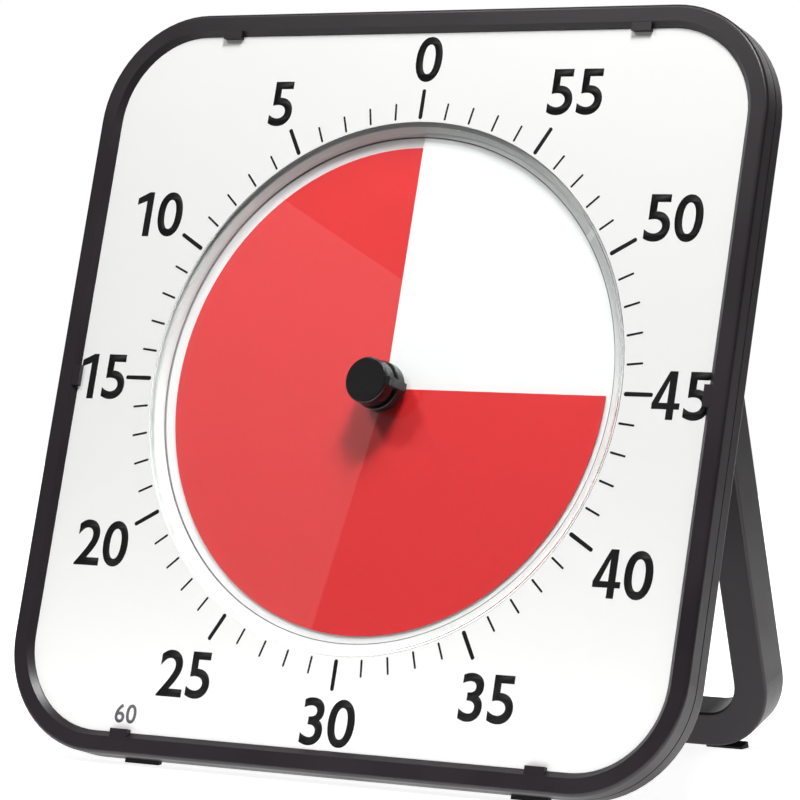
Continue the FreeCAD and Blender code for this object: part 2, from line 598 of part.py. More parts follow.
def clear_lens():
    """Clear polystyrene lens: a brim behind the board, a sloped wall and a sunk floor holed for the knob."""
    body = new_body("clear_lens")
    profile = sketch_on(body, "lens_profile", plane="XZ_Plane")
    brim_radius = "dial_radius + lens_brim"
    polygon(profile, [(LENS_RADIUS, "0"), (f"{LENS_RADIUS} - lens_edge", "0"), (LENS_FLOOR_RADIUS, LENS_FLOOR),
                      ("neck_radius + knob_play", LENS_FLOOR), ("neck_radius + knob_play", LENS_BACK),
                      (f"{LENS_FLOOR_RADIUS} + lens_thickness / 2", LENS_BACK),
                      (f"{LENS_RADIUS} - lens_thickness", f"{LEDGE_TOP} - lens_thickness"),
                      (brim_radius, f"{LEDGE_TOP} - lens_thickness"), (brim_radius, LEDGE_TOP),
                      (LENS_RADIUS, LEDGE_TOP)])
    revolve(profile)
    return body


def dial_board():
    """White printed dial board with a round opening."""
    body = new_body("dial_board")
    outline = sketch_on(body, "board_outline", z="-board_thickness")
    rectangle(outline, f"{OPENING_WIDTH} - 2 * board_play", f"{OPENING_HEIGHT} - 2 * board_play",
              f"{OPENING_RADIUS} - board_play")
    circle(outline, "dial_radius")
    pad(outline, "board_thickness")
    return body


# ---- the disks: two sheets of one pitch, so the red one screws through the slit in the white one ----

def screw_sheet(start_angle, end_angle, inner, outer, level):
    """A thin sheet that rises evenly between two angles, counted from 12 o'clock towards minute 5."""
    pitch = size_of("disk_pitch")
    thickness = size_of("sheet_thickness")
    rise = pitch * (end_angle - start_angle) / 360
    inner_edge = Part.makeHelix(pitch, rise, inner).Edges[0]
    outer_edge = Part.makeHelix(pitch, rise, outer).Edges[0]
    sheet_solid = Part.makeRuledSurface(inner_edge, outer_edge).extrude(Vector(0, 0, thickness))
    base = Vector(0, 0, level + pitch * start_angle / 360 - thickness / 2)
    sheet_solid.Placement = Placement(base, Rotation(Vector(0, 0, 1), 90 + start_angle))
    return sheet_solid


def white_disk():
    """Fixed white sheet with its slit at 12 o'clock, held by its rim."""
    half_slit = size_of("slit_angle") / 2
    level = size_of("-disk_depth - disk_pitch / 2")
    return plain_solid("white_disk", screw_sheet(half_slit, 360 - half_slit,
                                                 size_of(f"{HUB_RADIUS} + hub_play"),
                                                 size_of(RIM_RING_RADIUS), level))


def red_disk():
    """Red sheet: its leading edge stands at the minutes left, and its tail runs behind the white one."""
    leading = 6 * size_of("minutes_left")
    trailing = leading - 360 + size_of("slit_angle")
    return plain_solid("red_disk", screw_sheet(trailing, leading, size_of(HUB_RADIUS), size_of("red_radius"),
                                               size_of("-disk_depth")))


def disk_hub():
    """Cup that carries the red sheet on the spindle and clears the knob's foot."""
    body = new_body("disk_hub")
    bore = "spindle_radius + running_play"
    floor = "-knob_foot - hub_floor_gap"
    boss_radius = "spindle_radius + hub_boss_wall"
    rim_level = f"{LENS_BACK} - hub_lens_gap"
    profile = sketch_on(body, "hub_profile", plane="XZ_Plane")
    polygon(profile, [(bore, f"{floor} - hub_boss_length"), (boss_radius, f"{floor} - hub_boss_length"),
                      (boss_radius, f"{floor} - hub_wall"), (HUB_RADIUS, f"{floor} - hub_wall"),
                      (HUB_RADIUS, rim_level), (f"{HUB_RADIUS} - hub_wall", rim_level),
                      (f"{HUB_RADIUS} - hub_wall", floor), (bore, floor)])
    revolve(profile)
    return body


def disk_rim():
    """White ring on the back: it holds the white disk's edge and carries the lens on a flat seat."""
    body = new_body("disk_rim")
    outside = f"{RIM_RING_RADIUS} + rim_ring_wall"
    ring_top = f"{LENS_BACK} - rim_ring_gap"
    seat = f"{LEDGE_TOP} - lens_thickness - seat_gap"
    seat_inside = f"{LENS_RADIUS} - lens_thickness + rim_ring_gap"
    profile = sketch_on(body, "rim_ring", plane="XZ_Plane")
    polygon(profile, [(RIM_RING_RADIUS, BACK_INSIDE), (outside, BACK_INSIDE),
                      (outside, f"{seat} - seat_thickness"), (SEAT_RADIUS, f"{seat} - seat_thickness"),
                      (SEAT_RADIUS, seat), (seat_inside, seat), (RIM_RING_RADIUS, ring_top)])
    revolve(profile)
    return body


# ---- knob and spindle ----

def knob():
    """Black knob: a grip with a line under its cap, a waist, a wider base with a neck, and a pointer rib."""
    body = new_body("knob")
    line_high = "knob_top - knob_line"
    line_low = f"{line_high} - knob_line_width"
    line_radius = "knob_radius - knob_line_depth"
    waist_high = "knob_top - knob_grip"
    base_high = f"{waist_high} - waist_height"
    base_low = f"{LENS_FLOOR} + base_gap"
    profile = sketch_on(body, "knob_profile", plane="XZ_Plane")
    polygon(profile, [("spindle_radius", "-knob_foot"), ("neck_radius", "-knob_foot"),
                      ("neck_radius", base_low), ("base_radius", base_low), ("base_radius", base_high),
                      ("knob_radius - waist_depth", base_high), ("knob_radius - waist_depth", waist_high),
                      ("knob_radius", waist_high), ("knob_radius", line_low), (line_radius, line_low),
                      (line_radius, line_high), ("knob_radius", line_high), ("knob_radius", "knob_top"),
                      ("0", "knob_top"), ("0", "knob_top - knob_skin"),
                      ("spindle_radius", "knob_top - knob_skin")])
    revolve(profile)
    round_edges(body, "knob_edge", lies_at("knob_top"))
    at_base = lies_at(base_high)
    base_size = size_of("2 * base_radius")
    round_edges(body, "base_edge", lambda edge: at_base(edge)
                and abs(edge.BoundBox.XLength - base_size) < 1e-3)
    rib_length = "rib_root + rib_height"
    rib = sketch_on(body, "knob_rib", f"base_radius + rib_height - ({rib_length}) / 2", "0", base_low)
    rectangle(rib, rib_length, "rib_width")
    pad(rib, f"knob_top - rib_drop - ({base_low})")
    return body


def turned(label, radius, low, high, bore=None, x="0", y="0"):
    """A plain turned piece along Z: a rod, or a ring where a bore is given."""
    body = new_body(label)
    section = sketch_on(body, label + "_section", x, y, low)
    circle(section, radius)
    if bore:
        circle(section, bore)
    pad(section, f"({high}) - ({low})")
    return body


# ---- the movement ----

def gear_shape(teeth, thickness, level):
    """An involute spur gear with a tooth's middle on the X axis, thinned a little for backlash."""
    module = size_of("gear_module")
    pressure_angle = math.radians(20)
    tip_share, root_share, backlash_share = 0.85, 1.2, 0.1
    pitch_radius = module * teeth / 2
    base_radius = pitch_radius * math.cos(pressure_angle)
    tip_radius = pitch_radius + tip_share * module
    root_radius = pitch_radius - root_share * module
    start_radius = max(base_radius, root_radius)

    def flank_angle(radius):
        slant = math.acos(min(1, base_radius / radius))
        roll = (math.tan(pressure_angle) - pressure_angle) - (math.tan(slant) - slant)
        return math.pi / (2 * teeth) + roll - backlash_share * module / pitch_radius

    def polar(radius, angle):
        return Vector(radius * math.cos(angle), radius * math.sin(angle), level)

    steps = 5
    radii = [start_radius + (tip_radius - start_radius) * step / steps for step in range(steps + 1)]
    edges = []
    for tooth in range(teeth):
        middle = 2 * math.pi * tooth / teeth
        rising = [polar(radius, middle - flank_angle(radius)) for radius in radii]
        falling = [polar(radius, middle + flank_angle(radius)) for radius in reversed(radii)]
        foot_angle = flank_angle(start_radius)
        next_foot = middle + 2 * math.pi / teeth - foot_angle
        if root_radius < start_radius:
            rising.insert(0, polar(root_radius, middle - foot_angle))
            falling.append(polar(root_radius, middle + foot_angle))
        edges += Part.makePolygon(rising).Edges
        edges.append(Part.Arc(rising[-1], polar(tip_radius, middle), falling[0]).toShape())
        edges += Part.makePolygon(falling).Edges
        root_middle = polar(root_radius, (middle + foot_angle + next_foot) / 2)
        edges.append(Part.Arc(falling[-1], root_middle, polar(root_radius, next_foot)).toShape())
    outline = Part.Wire(Part.__sortEdges__(edges))
    return Part.Face(outline).extrude(Vector(0, 0, thickness))


def rod(radius, low, high):
    return Part.makeCylinder(radius, high - low, Vector(0, 0, low))


GEAR_LEVEL = "-plate_depth - plate_thickness - gear_step"
WHEEL_LEVEL = f"{GEAR_LEVEL} - wheel_step"
MAGNET_HIGH = f"{WHEEL_LEVEL} - pinion_lead"
MAGNET_LOW = f"{MAGNET_HIGH} - magnet_length"
IDLER_DISTANCE = "gear_module * (spindle_teeth + idler_small_teeth) / 2 + mesh_play"
ROTOR_DISTANCE = "gear_module * (idler_large_teeth + rotor_teeth) / 2 + mesh_play"
IDLER_X = f"({IDLER_DISTANCE}) * cos(idler_angle)"
IDLER_Y = f"({IDLER_DISTANCE}) * sin(idler_angle)"
ROTOR_X = f"{IDLER_X} + ({ROTOR_DISTANCE}) * cos(rotor_angle)"
ROTOR_Y = f"{IDLER_Y} + ({ROTOR_DISTANCE}) * sin(rotor_angle)"


def spindle_gear():
    """Large gear on the spindle, with a tooth towards the idler."""
    level = size_of(GEAR_LEVEL)
    thickness = size_of("gear_thickness")
    blank = gear_shape(int(size_of("spindle_teeth")), thickness, level)
    blank.rotate(Vector(0, 0, 0), Vector(0, 0, 1), size_of("idler_angle"))
    bore = rod(size_of("spindle_radius"), level - 1, level + thickness + 1)
    return plain_solid("spindle_gear", blank.cut(bore))


def idler_gear():
    """Pinion and wheel in one, a gap of the pinion facing the spindle gear's tooth."""
    small_teeth = int(size_of("idler_small_teeth"))
    large_teeth = int(size_of("idler_large_teeth"))
    wheel_level, wheel_thickness = size_of(WHEEL_LEVEL), size_of("wheel_thickness")
    wheel_top = wheel_level + wheel_thickness
    pinion_top = size_of(f"{GEAR_LEVEL} + gear_thickness + pinion_tail")
    pinion = gear_shape(small_teeth, pinion_top - wheel_top, wheel_top)
    pinion.rotate(Vector(0, 0, 0), Vector(0, 0, 1), size_of("idler_angle") + 180 + 180 / small_teeth)
    wheel = gear_shape(large_teeth, wheel_thickness, wheel_level)
    wheel.rotate(Vector(0, 0, 0), Vector(0, 0, 1), size_of("rotor_angle"))
    whole = pinion.fuse(wheel).removeSplitter()
    whole = whole.cut(rod(size_of("arbor_radius + running_play"), wheel_level - 1, pinion_top + 1))
    whole.translate(Vector(size_of(IDLER_X), size_of(IDLER_Y), 0))
    return plain_solid("idler_gear", whole)


def rotor():
    """Magnet with a pinion, a gap of the pinion facing the idler wheel's tooth."""
    teeth = int(size_of("rotor_teeth"))
    low, high = size_of(MAGNET_LOW), size_of(MAGNET_HIGH)
    pinion_length = size_of("pinion_lead + wheel_thickness + pinion_tail")
    pinion = gear_shape(teeth, pinion_length, high)
    pinion.rotate(Vector(0, 0, 0), Vector(0, 0, 1), size_of("rotor_angle") + 180 + 180 / teeth)
    whole = pinion.fuse(rod(size_of("magnet_radius"), low, high)).removeSplitter()
    whole = whole.cut(rod(size_of("arbor_radius + running_play"), low - 1, high + pinion_length + 1))
    whole.translate(Vector(size_of(ROTOR_X), size_of(ROTOR_Y), 0))
    return plain_solid("rotor", whole)


def movement_plate():
    body = new_body("movement_plate")
    outline = sketch_on(body, "plate_outline", z="-plate_depth")
    rectangle(outline, "movement_width", "movement_width", "movement_corner")
    circle(outline, "spindle_radius + running_play")
    circle(outline, "arbor_radius", IDLER_X, IDLER_Y)
    circle(outline, "arbor_radius", ROTOR_X, ROTOR_Y)
    for x, y in MOVEMENT_SCREWS:
        circle(outline, "small_screw + pilot_play", x, y)
    pad(outline, "plate_thickness", down=True)
    return body


def movement_cover():
    """Rear shell of the movement, with the spindle's second bearing and four screw posts."""
    body = new_body("movement_cover")
    outline = sketch_on(body, "shell_outline", z=HOUSING_INSIDE)
    rectangle(outline, "movement_width", "movement_width", "movement_corner")
    pad(outline, f"{PLATE_BACK} - ({HOUSING_INSIDE})")
    inside = sketch_on(body, "shell_inside", z=PLATE_BACK)
    rectangle(inside, "movement_width - 2 * movement_wall", "movement_width - 2 * movement_wall",
              "movement_corner - movement_wall")
    pocket(inside, f"{PLATE_BACK} - ({HOUSING_INSIDE}) - movement_wall")
    posts = sketch_on(body, "shell_posts", z=f"{HOUSING_INSIDE} + movement_wall")
    for x, y in MOVEMENT_SCREWS:
        circle(posts, "movement_post", x, y)
    pad(posts, f"{PLATE_BACK} - ({HOUSING_INSIDE}) - movement_wall")
    post_holes = sketch_on(body, "shell_post_holes", z=PLATE_BACK)
    for x, y in MOVEMENT_SCREWS:
        circle(post_holes, "small_screw + pilot_play", x, y)
    pocket(post_holes, "pilot_depth")
    bearing = sketch_on(body, "shell_bearing", z=f"{HOUSING_INSIDE} + movement_wall")
    circle(bearing, "spindle_radius + running_play")
    circle(bearing, "arbor_radius", IDLER_X, IDLER_Y)
    circle(bearing, "arbor_radius", ROTOR_X, ROTOR_Y)
    pocket(bearing, "movement_wall - bearing_floor")
    return body


STATOR_LEVEL = f"{MAGNET_LOW} + stator_rise"
COIL_X = f"{ROTOR_X} + coil_reach"


def stator():
    """Soft-iron loop around the rotor; its far bar carries the coil."""
    body = new_body("stator")
    outline = sketch_on(body, "stator_outline", f"{ROTOR_X} + (coil_reach + stator_bar / 2 - stator_near) / 2",
                        ROTOR_Y, STATOR_LEVEL)
    rectangle(outline, "stator_near + coil_reach + stator_bar / 2", "stator_width")
    pad(outline, "stator_thickness")
    top = f"{STATOR_LEVEL} + stator_thickness"
    eye = sketch_on(body, "stator_eye", ROTOR_X, ROTOR_Y, top)
    circle(eye, "magnet_radius + magnet_play")
    pocket(eye, "stator_thickness")
    window = sketch_on(body, "stator_window", f"{ROTOR_X} + (stator_near + coil_reach - stator_bar / 2) / 2",
                       ROTOR_Y, top)
    rectangle(window, "coil_reach - stator_bar / 2 - stator_near", "stator_width - 2 * stator_bar")
    pocket(window, "stator_thickness")
    return body


def coil():
    """Copper winding on a bobbin, threaded on the stator's far bar."""
    body = new_body("coil")
    section = sketch_on(body, "coil_section", COIL_X, ROTOR_Y, f"{STATOR_LEVEL} + stator_thickness / 2")
    half = "(stator_width / 2 - stator_bar - coil_end_play)"
    waist = "coil_radius - coil_waist"
    polygon(section, [("0", f"-{half}"), ("coil_radius", f"-{half}"), ("coil_radius", f"coil_flange - {half}"),
                      (waist, f"coil_flange - {half}"), (waist, f"{half} - coil_flange"),
                      ("coil_radius", f"{half} - coil_flange"), ("coil_radius", half), ("0", half)])
    revolve(section)
    core = sketch_on(body, "coil_core", COIL_X, ROTOR_Y, f"{STATOR_LEVEL} - coil_play")
    rectangle(core, "stator_bar + 2 * coil_play", "stator_width")
    pocket(core, "stator_thickness + 2 * coil_play", up=True)
    return body


# ---- electrics in the housing ----

def circuit_board():
    body = new_body("circuit_board")
    outline = sketch_on(body, "circuit_outline", "board_x", "0", "-circuit_depth")
    rectangle(outline, "board_width", "board_length", "circuit_corner")
    circle(outline, "small_screw + pilot_play", "0", "post_offset")
    circle(outline, "small_screw + pilot_play", "0", "-post_offset")
    pad(outline, "circuit_thickness")
    return body


def buzzer():
    back = f"{HOUSING_INSIDE} + buzzer_gap"
    body = turned("buzzer", "buzzer_radius", back, "-circuit_depth", x="board_x", y="buzzer_y")
    port = sketch_on(body, "buzzer_port", "board_x", "buzzer_y", back)
    circle(port, "port_radius")
    pocket(port, "port_depth", up=True)
    return body


def switch_body():
    body = new_body("switch_body")
    outline = sketch_on(body, "switch_outline", "board_x", "switch_y", "-circuit_depth")
    rectangle(outline, "switch_length", "switch_width")
    pad(outline, f"-circuit_depth - ({HOUSING_INSIDE}) - switch_gap", down=True)
    well = sketch_on(body, "switch_well", "board_x", "switch_y", f"{HOUSING_INSIDE} + switch_gap")
    rectangle(well, "stem_width + switch_travel + 2 * well_play", "stem_height + 2 * well_play")
    pocket(well, "well_depth", up=True)
    return body


def alarm_slider():
    """Slider of the alarm switch, with a thumb pad behind the housing."""
    body = new_body("alarm_slider")
    level = f"{HOUSING_BACK} - thumb_gap"
    stem = sketch_on(body, "slider_stem", "board_x", "switch_y", level)
    rectangle(stem, "stem_width", "stem_height")
    pad(stem, "thumb_gap + housing_floor + stem_reach")
    thumb = sketch_on(body, "slider_thumb", "board_x", "switch_y", level)
    rectangle(thumb, "thumb_length", "thumb_width", "thumb_corner")
    pad(thumb, "thumb_height", down=True)
    return body


TRAY_BACK = f"{HOUSING_INSIDE} + tray_gap"
BATTERY_LEVEL = f"{HOUSING_INSIDE} + cell_gap + battery_radius"


def battery_tray():
    """Open tray for one cell, with end walls that hold the contacts."""
    body = new_body("battery_tray")
    outline = sketch_on(body, "tray_outline", "battery_x", "0", TRAY_BACK)
    rectangle(outline, TRAY_WIDTH, TRAY_LENGTH, "tray_corner")
    pad(outline, f"{BACK_INSIDE} - ({TRAY_BACK})")
    trough = sketch_on(body, "tray_trough", "battery_x", BATTERY_LEVEL, plane="XZ_Plane")
    circle(trough, "battery_radius + tray_play")
    pocket(trough, f"{TRAY_LENGTH} - 2 * tray_end", both_ways=True)
    mouth = sketch_on(body, "tray_mouth", "battery_x", "0", TRAY_BACK)
    rectangle(mouth, "2 * battery_radius + 2 * tray_play", f"{TRAY_LENGTH} - 2 * tray_end")
    pocket(mouth, "battery_radius", up=True)
    return body


CELL_TOP = f"({TRAY_LENGTH} / 2 - tray_end - contact_thickness)"
CONTACT_Y = f"({TRAY_LENGTH} / 2 - tray_end - contact_thickness / 2)"


def battery_cell():
    """AA cell with its nub upwards."""
    body = new_body("battery_cell")
    top = f"{CELL_TOP} - nub_height"
    profile = sketch_on(body, "cell_profile", "battery_x", "0", BATTERY_LEVEL)
    polygon(profile, [("0", f"{top} - battery_length"), ("battery_radius", f"{top} - battery_length"),
                      ("battery_radius", top), ("nub_radius", top), ("nub_radius", CELL_TOP), ("0", CELL_TOP)])
    revolve(profile)
    return body


def contact_plate(label, y):
    """Bright end plate of the tray."""
    body = new_body(label)
    outline = sketch_on(body, label + "_outline", "battery_x", y, f"{BATTERY_LEVEL} - contact_height / 2")
    rectangle(outline, "contact_width", "contact_thickness")
    pad(outline, "contact_height")
    return body


def contact_spring():
    """Bent leaf spring between the negative contact and the cell."""
    thickness, reach = size_of("spring_thickness"), size_of("spring_reach")
    low = -size_of(CELL_TOP) + thickness / 2
    high = size_of(f"{CELL_TOP} - nub_height - battery_length - spring_gap") - thickness / 2
    left, level = size_of("battery_x - spring_width / 2"), size_of(BATTERY_LEVEL)
    bends = [(low, reach), (low, -reach), (high, 0), (high - reach / 2, reach)]
    path = Part.makePolygon([Vector(left, y, level + z) for y, z in bends])
    outline = path.makeOffset2D(thickness / 2)
    return plain_solid("contact_spring", Part.Face(outline).extrude(Vector(size_of("spring_width"), 0, 0)))


def battery_door():
    """Sliding door whose tongues run in the housing's grooves."""
    body = new_body("battery_door")
    length = "door_top + housing_height / 2"
    middle = "(door_top - housing_height / 2) / 2"
    top = f"{HOUSING_BACK} + door_lip + groove_height - tongue_play"
    plate = sketch_on(body, "door_plate", "battery_x", middle, HOUSING_BACK)
    rectangle(plate, "door_width", length)
    pad(plate, f"{top} - ({HOUSING_BACK})")
    tongue = sketch_on(body, "door_tongue_outline", "battery_x", middle,
                       f"{HOUSING_BACK} + door_lip + tongue_play")
    rectangle(tongue, "door_width + 2 * door_tongue", length)
    pad(tongue, "groove_height - 2 * tongue_play")
    for index in range(int(size_of("grip_count"))):
        grip = sketch_on(body, f"door_grip_{index}", "battery_x",
                         f"-housing_height / 2 + grip_start + {index} * grip_pitch", HOUSING_BACK)
        rectangle(grip, "door_width - 2 * grip_margin", "grip_width")
        pocket(grip, "grip_depth", up=True)
    return body


# ---- stand: drawn folded flat, its origin on the hinge axis ----

STAND_TILT = "(open_angle - lean_angle)"
REST_HEIGHT = "(case_height / 2 * cos(lean_angle) + rear_depth * sin(lean_angle) + foot_drop)"
PIVOT_HEIGHT = f"({PIVOT_Y} * cos(lean_angle) - {PIVOT_DEPTH} * sin(lean_angle) + {REST_HEIGHT})"
HEEL_LENGTH = ("((arm_gap + arm_thickness / 2 - stop_gap - heel_thickness / 2 * cos(open_angle))"
               " / sin(open_angle))")
STAND_LENGTH = (f"(({PIVOT_HEIGHT} - arm_thickness / 2 * sin({STAND_TILT}) - foot_drop)"
                f" / cos({STAND_TILT}))")


def stand_frame():
    """U-shaped loop of one bar; its arms end in hinge eyes with a stop heel."""
    body = new_body("stand_frame")
    rise = "(stand_corner + arm_width)"
    outline = sketch_on(body, "stand_outline", y=f"({rise} - {STAND_LENGTH}) / 2", z="-arm_thickness / 2")
    rectangle(outline, "stand_width", f"{STAND_LENGTH} + {rise}", "stand_corner")
    rectangle(outline, "stand_width - 2 * arm_width", f"{STAND_LENGTH} + {rise} - 2 * arm_width",
              "stand_corner - arm_width")
    pad(outline, "arm_thickness")
    top = sketch_on(body, "stand_top_cut", y=f"{rise}", z="arm_thickness / 2")
    rectangle(top, "stand_width + 2", f"2 * {rise}")
    pocket(top, "arm_thickness")
    round_edges(body, "arm_edge", lambda edge: abs(edge.BoundBox.ZLength) < 1e-3
                and edge.BoundBox.YMin < -1)
    for index, sign in enumerate(("", "-")):
        place = f"{sign}(stand_width / 2 - arm_width / 2) - arm_width / 2"
        eye = sketch_on(body, f"stand_eye_{index}", z=place, plane="YZ_Plane")
        circle(eye, "arm_thickness / 2")
        pad(eye, "arm_width")
        heel = sketch_on(body, f"stand_heel_{index}", f"{HEEL_LENGTH} / 2", "0", place, plane="YZ_Plane")
        rectangle(heel, HEEL_LENGTH, "heel_thickness")
        pad(heel, "arm_width")
    bore = sketch_on(body, "stand_bore", plane="YZ_Plane")
    circle(bore, "pin_radius")
    pocket(bore, "stand_width - 2 * pin_inset", both_ways=True)
    return body


def stand_pins():
    """Two steel pins, tight in the arms and running in the lugs."""
    pins = []
    for side in (-1, 1):
        inner = size_of("stand_width / 2 - arm_width - lug_gap - lug_width")
        outer = size_of("stand_width / 2 - pin_inset")
        start = Vector(side * inner, 0, 0)
        pins.append(Part.makeCylinder(size_of("pin_radius"), outer - inner, start, Vector(side, 0, 0)))
    return plain_solid("stand_pins", Part.makeCompound(pins))


def wedge(corners, length):
    """A strip along X with the given outline in Y and Z, one copy on each side."""
    offset = size_of("foot_offset")
    copies = []
    for side in (-1, 1):
        points = [Vector(side * offset - length / 2, y, z) for y, z in corners]
        face = Part.Face(Part.makePolygon(points + points[:1]))
        copies.append(face.extrude(Vector(length, 0, 0)))
    return Part.makeCompound(copies)


def case_feet():
    """Rubber wedges under the leaning case, flat on the table."""
    lean = math.radians(size_of("lean_angle"))
    level = -size_of(REST_HEIGHT)
    bottom = -size_of("case_height / 2")
    z_rear = -size_of("rear_depth - edge_radius")
    z_front = z_rear + size_of("case_foot_depth")
    corners = [(bottom, z_rear), (bottom, z_front)]
    corners += [((level - z * math.sin(lean)) / math.cos(lean), z) for z in (z_front, z_rear)]
    return plain_solid("case_feet", wedge(corners, size_of("foot_width")))


def stand_pads():
    """Rubber wedges under the stand, flat on the table."""
    tilt = math.radians(size_of(STAND_TILT))
    bottom = -size_of(STAND_LENGTH)
    level = -size_of(PIVOT_HEIGHT)
    z_front = size_of("arm_thickness / 2 - arm_edge")
    z_rear = z_front - size_of("stand_pad_depth")
    corners = [(bottom, z_rear), (bottom, z_front)]
    corners += [((level + z * math.sin(tilt)) / math.cos(tilt), z) for z in (z_front, z_rear)]
    return plain_solid("stand_pads", wedge(corners, size_of("foot_width")))


# ---- fasteners ----

def pan_head_screws(label, places, shank, head, length, seat, upward):
    """A group of equal cross-slotted screws; upward ones enter from the back."""
    head_height_share, edge_share = 0.48, 0.3
    slot_depth_share, slot_length_share, slot_width_share = 0.55, 1.2, 0.3
    screws = []
    sign = 1 if upward else -1
    shank_radius, head_radius = size_of(shank), size_of(head)
    head_height = head_height_share * head_radius
    slot_depth = slot_depth_share * head_height
    for x, y in places:
        start = Vector(size_of(x), size_of(y), size_of(seat))
        along = Vector(0, 0, sign)
        screw = Part.makeCylinder(shank_radius, size_of(length), start, along)
        cap = Part.makeCylinder(head_radius, head_height, start, -along)
        face = start.z - sign * head_height
        outer_edge = [edge for edge in cap.Edges if abs(edge.BoundBox.ZMin - face) < 1e-3
                      and abs(edge.BoundBox.ZMax - face) < 1e-3]
        screw = screw.fuse(cap.makeFillet(edge_share * head_height, outer_edge))
        low = face if upward else face - slot_depth
        for wide, tall in ((slot_length_share, slot_width_share), (slot_width_share, slot_length_share)):
            corner = Vector(start.x - wide * head_radius / 2, start.y - tall * head_radius / 2, low)
            screw = screw.cut(Part.makeBox(wide * head_radius, tall * head_radius, slot_depth, corner))
        screws.append(screw)
    return plain_solid(label, Part.makeCompound(screws))


# ---- build, stand up and check ----

case_pieces = [
    front_bezel(),
    rear_case(),
    clear_lens(),
    dial_board(),
    disk_rim(),
    white_disk(),
    red_disk(),
    disk_hub(),
    knob(),
    turned("spindle", "spindle_radius", f"{BEARING} + shaft_end_play", "knob_top - knob_skin"),
    turned("spindle_clip", "spindle_radius + clip_wall", f"{PLATE_BACK} - clip_play - clip_thickness",
           f"{PLATE_BACK} - clip_play", "spindle_radius"),
    spindle_gear(),
    idler_gear(),
    rotor(),
    turned("idler_arbor", "arbor_radius", f"{BEARING} + arbor_end_play", "-plate_depth", x=IDLER_X, y=IDLER_Y),
    turned("rotor_arbor", "arbor_radius", f"{BEARING} + arbor_end_play", "-plate_depth", x=ROTOR_X, y=ROTOR_Y),
    movement_plate(),
    movement_cover(),
    stator(),
    coil(),
    circuit_board(),
    buzzer(),
    switch_body(),
    alarm_slider(),
    battery_tray(),
    battery_cell(),
    contact_plate("positive_contact", CONTACT_Y),
    contact_plate("negative_contact", f"-{CONTACT_Y}"),
    contact_spring(),
    battery_door(),
    case_feet(),
    pan_head_screws("case_screws", CASE_SCREWS, "screw_radius", "screw_head", "screw_length", BACK, True),
    pan_head_screws("movement_screws", MOVEMENT_SCREWS, "small_screw", "small_head", "small_length",
                    "-plate_depth", False),
    pan_head_screws("board_screws", BOARD_SCREWS, "small_screw", "small_head", "small_length",
                    "-circuit_depth + circuit_thickness", False),
]
stand_pieces = [stand_frame(), stand_pins(), stand_pads()]

document.recompute()
for thing in document.Objects:
    if "Invalid" in thing.State or "Error" in thing.State:
        raise RuntimeError(f"{thing.Label} failed: {thing.State}")

lean = size_of("lean_angle")
pivot_back = size_of(f"{PIVOT_Y} * sin(lean_angle) + {PIVOT_DEPTH} * cos(lean_angle)")
case_place = Placement(Vector(0, 0, size_of(REST_HEIGHT)), Rotation(Vector(1, 0, 0), 90 - lean))
stand_place = Placement(Vector(0, pivot_back, size_of(PIVOT_HEIGHT)),
                        Rotation(Vector(1, 0, 0), 90 - lean + size_of("open_angle")))
for piece in case_pieces:
    piece.Placement = case_place
for piece in stand_pieces:
    piece.Placement = stand_place
document.recompute()

# The origin is on the table, midway between the frontmost and the rearmost point.
reach = [piece.Shape.optimalBoundingBox(False) for piece in (case_pieces[0], stand_pieces[0])]
middle = (min(box.YMin for box in reach) + max(box.YMax for box in reach)) / 2
for piece in case_pieces + stand_pieces:
    base = piece.Placement.Base
    piece.Placement = Placement(Vector(base.x, base.y - middle, base.z), piece.Placement.Rotation)
document.recompute()

os.makedirs("parts", exist_ok=True)
for piece in case_pieces + stand_pieces:
    shape = piece.Shape
    if shape.isNull() or not shape.isValid() or not shape.Solids:
        raise RuntimeError(f"{piece.Label} has no valid solid")
    shape.exportStep(f"parts/{piece.Label}.step")
    print(f"{piece.Label}: {len(shape.Solids)} solids, {shape.Volume:.1f} mm3")
print(f"dial centre at Y {-middle:.4f}, Z {size_of(REST_HEIGHT):.4f}")
print(f"hinge axis at Y {pivot_back - middle:.4f}, Z {size_of(PIVOT_HEIGHT):.4f}")
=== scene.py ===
import json
import math

import bpy
from mathutils import Matrix, Vector


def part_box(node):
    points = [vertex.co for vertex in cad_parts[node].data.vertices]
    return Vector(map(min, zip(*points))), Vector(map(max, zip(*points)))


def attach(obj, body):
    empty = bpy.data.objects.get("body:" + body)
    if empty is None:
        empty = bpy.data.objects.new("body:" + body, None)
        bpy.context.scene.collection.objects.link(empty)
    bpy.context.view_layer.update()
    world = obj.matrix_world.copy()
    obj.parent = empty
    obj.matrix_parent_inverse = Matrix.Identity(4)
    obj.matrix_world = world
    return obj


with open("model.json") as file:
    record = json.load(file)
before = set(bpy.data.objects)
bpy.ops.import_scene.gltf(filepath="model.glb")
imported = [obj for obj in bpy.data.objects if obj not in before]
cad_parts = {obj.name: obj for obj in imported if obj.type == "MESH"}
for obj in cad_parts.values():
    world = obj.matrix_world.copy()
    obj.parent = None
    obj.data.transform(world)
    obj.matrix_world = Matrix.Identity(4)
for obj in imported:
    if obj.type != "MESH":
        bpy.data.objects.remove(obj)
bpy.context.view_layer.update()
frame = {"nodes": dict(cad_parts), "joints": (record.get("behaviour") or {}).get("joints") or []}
nodes = frame["nodes"]
joints = {joint["name"]: joint for joint in frame["joints"]}
for loaded in bpy.context.selected_objects:
    loaded.select_set(False)


